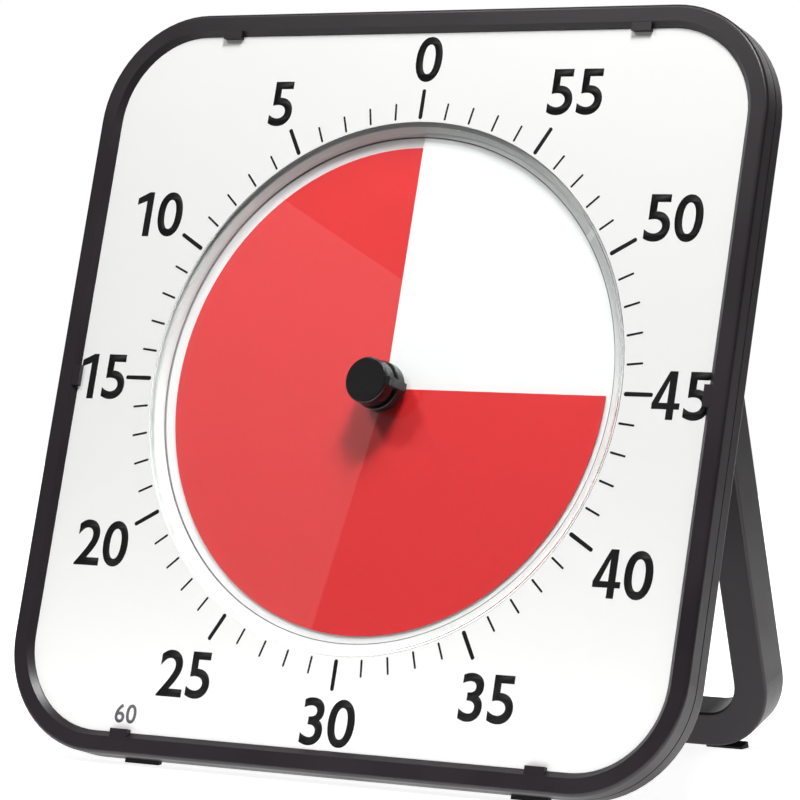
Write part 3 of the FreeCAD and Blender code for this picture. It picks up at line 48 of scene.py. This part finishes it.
# The camera and the studio. One long lens stands to the right of the timer, a little above
# its middle. A white paper sweep lies under and behind the timer. Two small soft lamps and
# a larger one light it from above, and two wide dim ones fill its side and its back.
CAMERA_PLACE = Vector((0.815188, -1.352402, 0.234084))
CAMERA_AIM = Vector((0.010591, -0.047594, 0.144896))
CAMERA_LENS = 178.909
CAMERA_SENSOR = 36.0

camera = bpy.data.objects.new("studio_camera", bpy.data.cameras.new("studio_camera"))
bpy.context.scene.collection.objects.link(camera)
camera.location = CAMERA_PLACE
camera.rotation_mode = "QUATERNION"
camera.rotation_quaternion = (CAMERA_AIM - CAMERA_PLACE).to_track_quat("-Z", "Y")
camera.data.sensor_width = CAMERA_SENSOR
camera.data.lens = CAMERA_LENS
camera.data.clip_start = 0.05
camera.data.clip_end = 50.0
bpy.context.scene.camera = camera
bpy.context.scene.view_settings.view_transform = "Standard"


def linear(colour):
    """An sRGB hex colour such as "F2F2F0" as the linear colour that a socket takes."""
    channels = [int(colour[i : i + 2], 16) / 255 for i in (0, 2, 4)]
    return tuple(c / 12.92 if c <= 0.04045 else ((c + 0.055) / 1.055) ** 2.4 for c in channels) + (1.0,)


def add_node(tree, kind, settings=None, links=None):
    """Adds a node. Settings go to its inputs or properties, and links join an input to an output."""
    node = tree.nodes.new(kind)
    for name, value in (settings or {}).items():
        if isinstance(name, int) or name in node.inputs:
            node.inputs[name].default_value = value
        else:
            setattr(node, name, value)
    for name, (source, output) in (links or {}).items():
        tree.links.new(source.outputs[output], node.inputs[name])
    return node


def new_material(name, settings):
    """A material on one Principled shader: the material, its node tree and the shader."""
    material = bpy.data.materials.new(name)
    material.use_nodes = True
    tree = material.node_tree
    shader = tree.nodes["Principled BSDF"]
    for socket, value in settings.items():
        shader.inputs[socket].default_value = value
    return material, tree, shader


def soft_lamp(name, place, aim, width, height, power):
    """A soft lamp with a flat white front that faces its aim and isn't seen itself."""
    lamp = bpy.data.lights.new(name, "AREA")
    lamp.shape = "RECTANGLE"
    lamp.size = width
    lamp.size_y = height
    lamp.energy = power
    holder = bpy.data.objects.new(name, lamp)
    bpy.context.scene.collection.objects.link(holder)
    holder.location = place
    holder.rotation_mode = "QUATERNION"
    holder.rotation_quaternion = (Vector(aim) - Vector(place)).to_track_quat("-Z", "Y")
    holder.visible_camera = False


AIR_BRIGHTNESS = 0.1
studio = bpy.data.worlds.new("studio_air")
studio.use_nodes = True
studio.node_tree.nodes["Background"].inputs["Color"].default_value = linear("FFFFFF")
studio.node_tree.nodes["Background"].inputs["Strength"].default_value = AIR_BRIGHTNESS
bpy.context.scene.world = studio

soft_lamp("right_softbox", (0.378, -0.431, 1.279), CAMERA_AIM, 0.24, 0.24, 11.8)
soft_lamp("left_softbox", (-0.50, -0.65, 1.15), CAMERA_AIM, 0.2, 0.2, 4.2)
soft_lamp("top_softbox", (0.26, -0.28, 1.5), CAMERA_AIM, 0.4, 0.25, 3.0)
soft_lamp("side_softbox", (1.7, 0.25, 1.2), CAMERA_AIM, 0.4, 0.9, 0.6)
soft_lamp("rear_softbox", (-0.9, 1.5, 1.4), CAMERA_AIM, 1.2, 1.2, 1.2)

# The card is a dim white reflector to the left of the lamps. Its lower right corner shows in the lens.
CARD_CORNER = Vector((-0.773, -1.130, 0.8455))
CARD_EDGES = Vector((-0.643, 0.590, 0.220)), Vector((-0.240, -0.368, -0.899))
CARD_GLOW = 0.38
bpy.ops.mesh.primitive_plane_add(size=1.0)
card = bpy.context.object
card.name = "studio_card"
for vertex in card.data.vertices:
    across, down = vertex.co.x + 0.5, vertex.co.y + 0.5
    vertex.co = CARD_CORNER + CARD_EDGES[0] * across + CARD_EDGES[1] * down
card_paper = new_material(
    "grey_card",
    {"Base Color": linear("000000"), "Emission Color": linear("FFFFFF"), "Emission Strength": CARD_GLOW},
)[0]
card.data.materials.append(card_paper)
card.visible_camera = False
card.visible_shadow = False

PAPER_LEFT, PAPER_RIGHT = -1.8, 0.45
PAPER_FRONT, PAPER_BACK = -0.22, 1.7
PAPER_TOP = 0.9
SWEEP_RADIUS = 0.5
SWEEP_STEPS = 24
PAPER_GLOW = 0.85
PAPER_FIBRE_PER_METRE = 900.0
FLAT_ENOUGH = 0.9999
DOME_RADIUS = 8.0
bpy.ops.mesh.primitive_plane_add(size=1.0)
floor = bpy.context.object
floor.name = "studio_floor"
for vertex in floor.data.vertices:
    vertex.co.x = PAPER_LEFT if vertex.co.x < 0 else PAPER_RIGHT
    vertex.co.y = PAPER_FRONT if vertex.co.y < 0 else PAPER_BACK
for edge in floor.data.edges:
    edge.select = all(floor.data.vertices[v].co.y > 0 for v in edge.vertices)
floor.data.polygons[0].select = False
for vertex in floor.data.vertices:
    vertex.select = vertex.co.y > 0
bpy.ops.object.mode_set(mode="EDIT")
bpy.ops.mesh.select_mode(type="EDGE")
bpy.ops.mesh.extrude_region_move(TRANSFORM_OT_translate={"value": (0, 0, PAPER_TOP)})
bpy.ops.mesh.select_all(action="DESELECT")
bpy.ops.object.mode_set(mode="OBJECT")
for edge in floor.data.edges:
    ends = [floor.data.vertices[v].co for v in edge.vertices]
    edge.select = all(end.y > 0 and end.z < SWEEP_RADIUS for end in ends)
bpy.ops.object.mode_set(mode="EDIT")
bpy.ops.mesh.bevel(offset=SWEEP_RADIUS, segments=SWEEP_STEPS)
bpy.ops.object.mode_set(mode="OBJECT")
bpy.ops.object.shade_smooth()
paper, paper_tree, paper_shader = new_material(
    "white_background_paper",
    {
        "Base Color": linear("F7F7F7"),
        "Roughness": 0.9,
        "Emission Color": linear("FFFFFF"),
        "Emission Strength": PAPER_GLOW,
    },
)
fibre = add_node(paper_tree, "ShaderNodeTexNoise", {"Scale": PAPER_FIBRE_PER_METRE, "Detail": 3.0})
paper_relief = add_node(
    paper_tree, "ShaderNodeBump", {"Strength": 0.05, "Distance": 0.0002}, {"Height": (fibre, "Fac")}
)
paper_tree.links.new(paper_relief.outputs["Normal"], paper_shader.inputs["Normal"])
floor.data.materials.append(paper)

# The rising part of the sweep is a piece of its own that only
# throws light, so that the timer's back can be seen.
bpy.context.tool_settings.mesh_select_mode = (False, False, True)
for face in floor.data.polygons:
    face.select = face.normal.z < FLAT_ENOUGH
bpy.ops.object.mode_set(mode="EDIT")
bpy.ops.mesh.separate(type="SELECTED")
bpy.ops.object.mode_set(mode="OBJECT")
wall = next(piece for piece in bpy.context.selected_objects if piece is not floor)
wall.name = "studio_wall"
wall.visible_camera = False

# A far white dome stands behind everything. It gives no
# light, and shows white beyond the paper from any side.
bpy.ops.object.select_all(action="DESELECT")
bpy.ops.mesh.primitive_uv_sphere_add(segments=48, ring_count=24, radius=DOME_RADIUS)
dome = bpy.context.object
dome.name = "studio_dome"
dome_cloth = new_material(
    "white_backdrop_cloth",
    {"Base Color": linear("000000"), "Emission Color": linear("FFFFFF"), "Emission Strength": 1.0},
)[0]
dome.data.materials.append(dome_cloth)
dome.visible_diffuse = False
dome.visible_glossy = False
dome.visible_transmission = False
dome.visible_shadow = False


# The case: a front frame, a rear case with its raised housing, the
# battery door and the folding stand. They are injection-moulded black ABS
# from spark-eroded moulds: a fine even grain that spreads each highlight.
GRAIN_PITCH = 0.55e-3  # a 0.15 mm grain is too fine to show, so it is drawn this coarse
GRAIN_DEPTH = 0.05e-3
HANDLING_PITCH = 0.045  # hands polish the grain in patches
HANDLING_GLOSS = 0.05  # how far that changes the roughness, each way
ABS_IOR = 1.53


def finish_with(material, *names):
    """Gives CAD nodes a finish."""
    for name in names:
        for place in nodes[name].material_slots:
            place.material = material


def between_colours(tree, shader, colour, mask, output="Fac"):
    """Colours a shader between two sRGB hex colours, by a node's output."""
    shade = add_node(
        tree,
        "ShaderNodeMix",
        {"data_type": "RGBA", 6: linear(colour[0]), 7: linear(colour[1])},
        {0: (mask, output)},
    )
    tree.links.new(shade.outputs[2], shader.inputs["Base Color"])


def raise_surface(tree, shader, height, strength, depth):
    """Gives a shader a relief of a depth in metres, by a noise or wave node."""
    relief = add_node(
        tree, "ShaderNodeBump", {"Strength": strength, "Distance": depth}, {"Height": (height, "Fac")}
    )
    tree.links.new(relief.outputs["Normal"], shader.inputs["Normal"])


def moulded_abs(name, colour, roughness, grain_pitch, grain_depth):
    """Moulded ABS: plain colour through the plastic, an even grain, and gloss that varies with handling."""
    material, tree, shader = new_material(name, {"IOR": ABS_IOR})
    where = add_node(tree, "ShaderNodeTexCoord")
    tint = add_node(
        tree,
        "ShaderNodeTexNoise",
        {"Scale": 1 / HANDLING_PITCH, "Detail": 3.0, "Roughness": 0.6},
        {"Vector": (where, "Object")},
    )
    between_colours(tree, shader, colour, tint)
    gloss = add_node(
        tree,
        "ShaderNodeMapRange",
        {
            "From Min": 0.35,
            "From Max": 0.65,
            "To Min": roughness - HANDLING_GLOSS,
            "To Max": roughness + HANDLING_GLOSS,
        },
        {"Value": (tint, "Fac")},
    )
    grain = add_node(
        tree,
        "ShaderNodeTexNoise",
        {"Scale": 1 / grain_pitch, "Detail": 2.0, "Roughness": 0.55},
        {"Vector": (where, "Object")},
    )
    raise_surface(tree, shader, grain, 0.7, grain_depth)
    tree.links.new(gloss.outputs["Result"], shader.inputs["Roughness"])
    return material


black_case = moulded_abs(
    "moulded_black_abs_spark_grain", ("1A1218", "1F171D"), 0.4, GRAIN_PITCH, GRAIN_DEPTH
)
finish_with(black_case, "front_bezel", "rear_case", "battery_door", "stand_frame")


# The dial board: a die-cut board of white high-impact polystyrene with a satin face.
# Its face has the faint orange peel of an extruded sheet, and takes the dial's black ink.
PEEL_PITCH = 2.5e-3
PEEL_DEPTH = 0.004e-3


def satin_sheet(name, colour, roughness, coat=0.0):
    """Extruded plastic sheet: an even colour with a faint cloud in it, and orange peel in its gloss."""
    material, tree, shader = new_material(name, {"Roughness": roughness, "IOR": 1.45, "Coat Weight": coat})
    where = add_node(tree, "ShaderNodeTexCoord")
    cloud = add_node(
        tree, "ShaderNodeTexNoise", {"Scale": 18.0, "Detail": 2.0}, {"Vector": (where, "Object")}
    )
    between_colours(tree, shader, colour, cloud)
    peel = add_node(
        tree, "ShaderNodeTexNoise", {"Scale": 1 / PEEL_PITCH, "Detail": 1.0}, {"Vector": (where, "Object")}
    )
    raise_surface(tree, shader, peel, 0.5, PEEL_DEPTH)
    return material


white_board = satin_sheet("extruded_white_polystyrene_board", ("FBFBFA", "FDFDFC"), 0.35)
finish_with(white_board, "dial_board")


# The dial's print: screen-printed ink on the board, sixty strokes round the
# opening and a number at every fifth. The numbers run backwards, so that the
# red that is left reads off as minutes. The ink is dense and nearly matt.
DIAL_CENTRE = Vector(joints["knob_turn"]["pos_m"])
FACE_OUT = Vector(joints["knob_turn"]["axis"]).normalized()
FACE_RIGHT = Vector((1.0, 0.0, 0.0))
FACE_UP = FACE_OUT.cross(FACE_RIGHT)
FACE_TURN = Matrix((FACE_RIGHT, FACE_UP, FACE_OUT)).transposed().to_4x4()
DIAL_FRAME = Matrix.Translation(DIAL_CENTRE) @ FACE_TURN

INK_THICKNESS = 0.03e-3
MARK_START = 107.9e-3
MINUTE_MARK = {"length": 7.0e-3, "width": 0.9e-3}
FIVE_MINUTE_MARK = {"length": 12.3e-3, "width": 1.75e-3}
NUMBER_RING = 0.1325
CORNER_NUMBER_RING = 0.1367
DIGIT_HEIGHT = 18.6e-3
DIGIT_STEP = 13.0e-3
DIGIT_SWELL = 0.016  # the strokes of the semibold face, against the regular one, for a letter one unit high
SMALL_NUMBER_PLACE = Vector((-0.0935, -0.1358, 0.0))
SMALL_DIGIT_HEIGHT = 7.6e-3
SMALL_DIGIT_STEP = 5.4e-3


def ink(name, colour):
    """Screen-printing ink: an even film with a faint mottle where the mesh left it thinner."""
    material, tree, shader = new_material(name, {"Roughness": 0.6, "IOR": 1.36})
    where = add_node(tree, "ShaderNodeTexCoord")
    mottle = add_node(
        tree, "ShaderNodeTexNoise", {"Scale": 1600.0, "Detail": 2.0}, {"Vector": (where, "Object")}
    )
    between_colours(tree, shader, colour, mottle)
    return material


def joined(pieces, name):
    """Several meshes as one object with a name."""
    bpy.ops.object.select_all(action="DESELECT")
    for piece in pieces:
        piece.select_set(True)
    bpy.context.view_layer.objects.active = pieces[0]
    if len(pieces) > 1:
        bpy.ops.object.join()
    whole = bpy.context.object
    whole.name = name
    whole.data.name = name
    return whole


def stroke(size):
    """One printed stroke with round ends, upright at 12 o'clock: a disc whose upper half is drawn out."""
    half = size["width"] / 2
    bpy.ops.mesh.primitive_circle_add(vertices=16, radius=half, fill_type="NGON")
    piece = bpy.context.object
    for vertex in piece.data.vertices:
        vertex.co.y += MARK_START + half + (size["length"] - 2 * half if vertex.co.y > 1e-7 else 0.0)
    bpy.ops.object.mode_set(mode="EDIT")
    bpy.ops.mesh.select_all(action="SELECT")
    bpy.ops.mesh.extrude_region_move(TRANSFORM_OT_translate={"value": (0, 0, INK_THICKNESS)})
    bpy.ops.mesh.select_all(action="SELECT")
    bpy.ops.mesh.normals_make_consistent(inside=False)
    bpy.ops.object.mode_set(mode="OBJECT")
    return piece


def round_dial(piece, minutes, name):
    """Copies of a 12 o'clock stroke at the given minutes, in one object. The dial is numbered backwards."""
    copies = []
    for minute in minutes:
        copy = bpy.data.objects.new(name, piece.data.copy())
        bpy.context.scene.collection.objects.link(copy)
        copy.data.transform(Matrix.Rotation(math.radians(6 * minute), 4, "Z"))
        copies.append(copy)
    bpy.data.objects.remove(piece)
    return joined(copies, name)


# The one and the four as in a plain signage face, one unit high: corners, then the faces between them.
DRAWN_DIGITS = {
    "1": (
        [(0, 0), (0.17, 0), (0.17, 1), (0.05, 1), (-0.24, 0.86), (-0.24, 0.71), (0, 0.80)],
        [(0, 1, 2, 3, 4, 5, 6)],
    ),
    "4": (
        [(0.33, 1), (0.51, 1), (0.51, 0.345), (0.63, 0.345), (0.63, 0.215), (0.51, 0.215), (0.51, 0)]
        + [(0.345, 0), (0.345, 0.215), (0, 0.215), (0, 0.34), (0.345, 0.80), (0.345, 0.345), (0.155, 0.345)],
        [(10, 13, 11, 0), (0, 11, 12, 2, 1), (10, 9, 8, 5, 4, 3, 2, 12, 13), (8, 7, 6, 5)],
    ),
}


def digit(character):
    """One digit as a flat mesh, upright, one unit high and centred."""
    if character in DRAWN_DIGITS:
        corners, faces = DRAWN_DIGITS[character]
        bpy.ops.mesh.primitive_plane_add(size=1.0)
        piece = bpy.context.object
        piece.data.clear_geometry()
        piece.data.from_pydata([(x, y, 0.0) for x, y in corners], [], faces)
    else:
        bpy.ops.object.text_add()
        piece = bpy.context.object
        piece.data.body = character
        piece.data.size = 1.0
        piece.data.offset = DIGIT_SWELL
        piece.data.resolution_u = 8
        bpy.ops.object.convert(target="MESH")
        piece = bpy.context.object
    low = Vector(min(v.co[axis] for v in piece.data.vertices) for axis in range(3))
    high = Vector(max(v.co[axis] for v in piece.data.vertices) for axis in range(3))
    piece.data.transform(Matrix.Translation(-(low + high) / 2))
    piece.data.transform(Matrix.Scale(1 / (high.y - low.y), 4))
    return piece


def printed_number(text, name, centre, height, step):
    """A number in ink, its digits evenly spaced about its centre."""
    pieces = []
    for place, character in enumerate(text):
        piece = digit(character)
        piece.data.transform(Matrix.Scale(height, 4))
        shift = Vector(((place - (len(text) - 1) / 2) * step, 0.0, 0.0))
        piece.data.transform(Matrix.Translation(centre + shift))
        pieces.append(piece)
    whole = joined(pieces, name)
    bpy.ops.object.mode_set(mode="EDIT")
    bpy.ops.mesh.select_all(action="SELECT")
    bpy.ops.mesh.extrude_region_move(TRANSFORM_OT_translate={"value": (0, 0, INK_THICKNESS)})
    bpy.ops.mesh.select_all(action="SELECT")
    bpy.ops.mesh.remove_doubles(threshold=1e-6)
    bpy.ops.mesh.normals_make_consistent(inside=False)
    bpy.ops.object.mode_set(mode="OBJECT")
    return whole


def print_on_dial(piece, material):
    """Lays a printed piece on the board and gives it its ink."""
    piece.data.transform(DIAL_FRAME)
    piece.data.materials.clear()
    piece.data.materials.append(material)
    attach(piece, "case")


black_ink = ink("screen_printed_black_ink", ("020202", "060606"))
grey_ink = ink("screen_printed_grey_ink", ("606164", "67686B"))
fives = range(0, 60, 5)
minutes = [minute for minute in range(60) if minute % 5]
print_on_dial(round_dial(stroke(FIVE_MINUTE_MARK), fives, "five_minute_marks"), black_ink)
print_on_dial(round_dial(stroke(MINUTE_MARK), minutes, "minute_marks"), black_ink)
for minute in fives:
    ring = NUMBER_RING if minute % 15 == 0 or minute == 5 else CORNER_NUMBER_RING
    turn = math.radians(6 * minute)
    centre = Vector((-ring * math.sin(turn), ring * math.cos(turn), 0.0))
    print_on_dial(
        printed_number(str(minute), f"dial_number_{minute:02d}", centre, DIGIT_HEIGHT, DIGIT_STEP), black_ink
    )
print_on_dial(
    printed_number("60", "small_number_60", SMALL_NUMBER_PLACE, SMALL_DIGIT_HEIGHT, SMALL_DIGIT_STEP),
    grey_ink,
)


# The lens: clear general-purpose polystyrene from a polished mould, sunk into the board's
# opening over the disks. It is clear with hard bright reflections, and its slope bends what
# lies behind it. A fine grey line is painted into its tint where its floor meets the slope:
# a painted dark reflection in place of the dark line that the curved corner shows.
LENS_CLEAR = "FDFEFE"
# Where the painted grey line lies and its colour: a painted dark reflection, not a grey in the plastic.
LENS_PAINTED_LINES_FROM, LENS_PAINTED_LINES_TO = 0.099, 0.108
LENS_PAINTED_LINE, LENS_PAINTED_LINE_HALF, LENS_PAINTED_LINE_EDGE = 0.1013, 0.00016, 0.00026
LENS_CORNER_PAINTED_REFLECTION = "4A3F45"
FLOW_DEPTH = 0.05e-3  # the wander left in the face by the plastic's flow
lens, lens_tree, lens_shader = new_material(
    "moulded_clear_polystyrene_polished", {"Roughness": 0.0, "IOR": 1.59, "Transmission Weight": 1.0}
)
lens_where = add_node(lens_tree, "ShaderNodeTexCoord")
from_centre = add_node(
    lens_tree,
    "ShaderNodeVectorMath",
    {"operation": "SUBTRACT", 1: DIAL_CENTRE},
    {0: (lens_where, "Object")},
)
across = add_node(
    lens_tree,
    "ShaderNodeVectorMath",
    {"operation": "CROSS_PRODUCT", 1: FACE_OUT},
    {0: (from_centre, "Vector")},
)
radius = add_node(lens_tree, "ShaderNodeVectorMath", {"operation": "LENGTH"}, {0: (across, "Vector")})
radius_share = add_node(
    lens_tree,
    "ShaderNodeMapRange",
    {"From Min": LENS_PAINTED_LINES_FROM, "From Max": LENS_PAINTED_LINES_TO},
    {"Value": (radius, "Value")},
)
# The ramp paints the grey line into the lens's tint by radius: a painted dark reflection.
lines = add_node(lens_tree, "ShaderNodeValToRGB", links={0: (radius_share, "Result")})
lines.color_ramp.elements[0].color = linear(LENS_CLEAR)
lines.color_ramp.elements[1].color = linear(LENS_CLEAR)
for place, colour in (
    (LENS_PAINTED_LINE - LENS_PAINTED_LINE_EDGE, LENS_CLEAR),
    (LENS_PAINTED_LINE - LENS_PAINTED_LINE_HALF, LENS_CORNER_PAINTED_REFLECTION),
    (LENS_PAINTED_LINE + LENS_PAINTED_LINE_HALF, LENS_CORNER_PAINTED_REFLECTION),
    (LENS_PAINTED_LINE + LENS_PAINTED_LINE_EDGE, LENS_CLEAR),
):
    share = (place - LENS_PAINTED_LINES_FROM) / (LENS_PAINTED_LINES_TO - LENS_PAINTED_LINES_FROM)
    lines.color_ramp.elements.new(share).color = linear(colour)
lens_tree.links.new(lines.outputs["Color"], lens_shader.inputs["Base Color"])
flow = add_node(
    lens_tree, "ShaderNodeTexNoise", {"Scale": 14.0, "Detail": 1.0}, {"Vector": (lens_where, "Object")}
)
raise_surface(lens_tree, lens_shader, flow, 0.15, FLOW_DEPTH)
lamp_path = add_node(lens_tree, "ShaderNodeLightPath")
lamp_clear = add_node(lens_tree, "ShaderNodeBsdfTransparent", {"Color": linear("F6F8F8")})
lens_mix = add_node(
    lens_tree,
    "ShaderNodeMixShader",
    links={0: (lamp_path, "Is Shadow Ray"), 1: (lens_shader, "BSDF"), 2: (lamp_clear, "BSDF")},
)
lens_tree.links.new(lens_mix.outputs[0], lens_tree.nodes["Material Output"].inputs["Surface"])
finish_with(lens, "clear_lens")


# The two disks: thin flexible sheets, one white and one red, each slit from its middle to its edge.
# The white one's edge sits in a moulded ring and the red one's middle in a moulded cup on the spindle.
# The white sheet is drawn a light grey, darker than the board's white. This is painted shade that makes up
# for the extra light it gets through the lens.
white_sheet = satin_sheet("extruded_white_styrene_sheet", ("E2E2E1", "E5E5E4"), 0.4)
red_sheet = satin_sheet("extruded_red_vinyl_sheet", ("C71518", "CA171A"), 0.6)
white_moulding = moulded_abs("moulded_white_abs", ("EDEDEA", "F0F0EE"), 0.35, 0.8e-3, 0.01e-3)
red_moulding = moulded_abs("moulded_red_abs", ("C9191C", "CD1C1F"), 0.35, 0.8e-3, 0.01e-3)
finish_with(white_sheet, "white_disk")
finish_with(red_sheet, "red_disk")
finish_with(white_moulding, "disk_rim")
finish_with(red_moulding, "disk_hub")


# The knob: black ABS, pressed on the spindle. It is moulded in a polished mould, which leaves it smooth,
# with one clear highlight on its cap.
black_knob = moulded_abs("moulded_black_abs_polished", ("121113", "161517"), 0.24, 0.9e-3, 0.006e-3)
finish_with(black_knob, "knob")


# Steel parts: the spindle, arbors and pins are drawn and ground, the screws zinc-plated and the contacts
# nickel-plated. Drawing leaves fine streaks along the metal, and plating a softer, more even shine.
STREAK_GLOSS = 0.07  # how far the streaks change the roughness, each way


def bright_steel(name, colour, roughness, streak):
    """Bare or plated steel: metallic, with fine drawn streaks along one axis of the object."""
    material, tree, shader = new_material(name, {"Metallic": 1.0})
    where = add_node(tree, "ShaderNodeTexCoord")
    stretch = add_node(tree, "ShaderNodeMapping", {"Scale": streak}, {"Vector": (where, "Object")})
    lines = add_node(
        tree, "ShaderNodeTexNoise", {"Scale": 1.0, "Detail": 2.0}, {"Vector": (stretch, "Vector")}
    )
    between_colours(tree, shader, colour, lines)
    gloss = add_node(
        tree,
        "ShaderNodeMapRange",
        {"To Min": roughness - STREAK_GLOSS, "To Max": roughness + STREAK_GLOSS},
        {"Value": (lines, "Fac")},
    )
    tree.links.new(gloss.outputs["Result"], shader.inputs["Roughness"])
    return material


ground_steel = bright_steel(
    "drawn_and_ground_steel", ("C4C5C8", "D2D3D5"), 0.27, (2500.0, 300.0, 300.0)
)
zinc_plate = bright_steel("zinc_plated_steel", ("A9ADB4", "C0C3C8"), 0.36, (900.0, 900.0, 900.0))
nickel_plate = bright_steel(
    "nickel_plated_spring_steel", ("C9C4BA", "D6D2C8"), 0.24, (600.0, 3000.0, 600.0)
)
finish_with(ground_steel, "spindle", "idler_arbor", "rotor_arbor", "stand_pins", "spindle_clip")
finish_with(zinc_plate, "case_screws", "movement_screws", "board_screws")
finish_with(nickel_plate, "positive_contact", "negative_contact", "contact_spring")


# The movement: acetal gears, an ABS plate and shell, a magnet rotor in a soft-iron loop, and its
# copper coil. The gears are matt and white, the shell dark grey, and the coil's enamelled turns shine.
white_acetal = moulded_abs("moulded_white_acetal", ("E9E8E1", "EDECE6"), 0.38, 0.6e-3, 0.008e-3)
grey_abs = moulded_abs("moulded_grey_abs", ("3A3B3E", "404144"), 0.45, 0.6e-3, 0.02e-3)
magnet = moulded_abs("bonded_ferrite_magnet", ("2B2C2F", "333438"), 0.5, 0.3e-3, 0.02e-3)
iron = bright_steel("annealed_electrical_steel", ("7C8087", "8C9096"), 0.45, (400.0, 400.0, 400.0))
finish_with(white_acetal, "spindle_gear", "idler_gear")
finish_with(grey_abs, "movement_plate", "movement_cover", "switch_body")
finish_with(magnet, "rotor")
finish_with(iron, "stator")

WIRE_PITCH = 0.45e-3  # a 0.06 mm wire is too fine to show, so the turns are drawn this far apart
WIRE_RELIEF = 0.1e-3
COIL_TILT = 73.5  # degrees, so that the turns run with the leaning case
copper, copper_tree, copper_shader = new_material(
    "enamelled_copper_winding", {"Metallic": 1.0, "Roughness": 0.28}
)
copper_where = add_node(copper_tree, "ShaderNodeTexCoord")
coil_axis = add_node(
    copper_tree,
    "ShaderNodeMapping",
    {"Rotation": (math.radians(COIL_TILT), 0.0, 0.0)},
    {"Vector": (copper_where, "Object")},
)
turns = add_node(
    copper_tree,
    "ShaderNodeTexWave",
    {"bands_direction": "Z", "Scale": 1 / WIRE_PITCH / 20, "Distortion": 0.6, "Detail": 1.0},
    {"Vector": (coil_axis, "Vector")},
)
# The same bands colour the turns darker copper in the grooves between them and lighter on their crowns. The
# dark grooves are painted shade.
between_colours(copper_tree, copper_shader, ("8A3F1D", "C8713A"), turns)
raise_surface(copper_tree, copper_shader, turns, 0.6, WIRE_RELIEF)
finish_with(copper, "coil")


# The electrics: a green circuit board, a piezo buzzer in a black can, the
# alarm switch and one cell in its tray. The board is glossy under its mask,
# the mouldings matt, and the cell has a shrunk sleeve with a copper band.
green_board, green_tree, green_shader = new_material(
    "glass_epoxy_board_green_mask", {"Roughness": 0.3, "IOR": 1.55, "Coat Weight": 0.3}
)
green_where = add_node(green_tree, "ShaderNodeTexCoord")
tracks = add_node(
    green_tree,
    "ShaderNodeTexBrick",
    {
        "Scale": 220.0,
        "Mortar Size": 0.03,
        "Color1": linear("0E4A26"),
        "Color2": linear("0F5029"),
        "Mortar": linear("1F6E3C"),
    },
    {"Vector": (green_where, "Object")},
)
green_tree.links.new(tracks.outputs["Color"], green_shader.inputs["Base Color"])
finish_with(green_board, "circuit_board")
matt_black = moulded_abs("moulded_black_nylon", ("19191B", "202022"), 0.5, 0.5e-3, 0.02e-3)
finish_with(matt_black, "buzzer", "battery_tray", "alarm_slider")

WRAP_DARK, WRAP_BAND = "1C1D20", "B88A4A"
BAND_SHARE = 0.26  # of the cell's height
SLEEVE_RELIEF = 0.05e-3
wrap, wrap_tree, wrap_shader = new_material("shrunk_pvc_cell_sleeve", {"Roughness": 0.25, "IOR": 1.54})
wrap_where = add_node(wrap_tree, "ShaderNodeTexCoord")
cell_low, cell_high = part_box("battery_cell")
along_cell = add_node(
    wrap_tree, "ShaderNodeSeparateXYZ", links={"Vector": (wrap_where, "Object")}
)
band = add_node(
    wrap_tree,
    "ShaderNodeMath",
    {"operation": "GREATER_THAN", 1: cell_high.z - BAND_SHARE * (cell_high.z - cell_low.z)},
    {0: (along_cell, "Z")},
)
sleeve_noise = add_node(wrap_tree, "ShaderNodeTexNoise", {"Scale": 300.0}, {"Vector": (wrap_where, "Object")})
between_colours(wrap_tree, wrap_shader, (WRAP_DARK, WRAP_BAND), band, "Value")
raise_surface(wrap_tree, wrap_shader, sleeve_noise, 0.1, SLEEVE_RELIEF)
finish_with(wrap, "battery_cell")


# The feet: wedges of black rubber under the case and the stand, moulded and glued on.
# They are matt, with a faint dusty bloom.
rubber = moulded_abs("moulded_black_rubber", ("101010", "1A1A1A"), 0.8, 0.7e-3, 0.05e-3)
finish_with(rubber, "case_feet", "stand_pads")
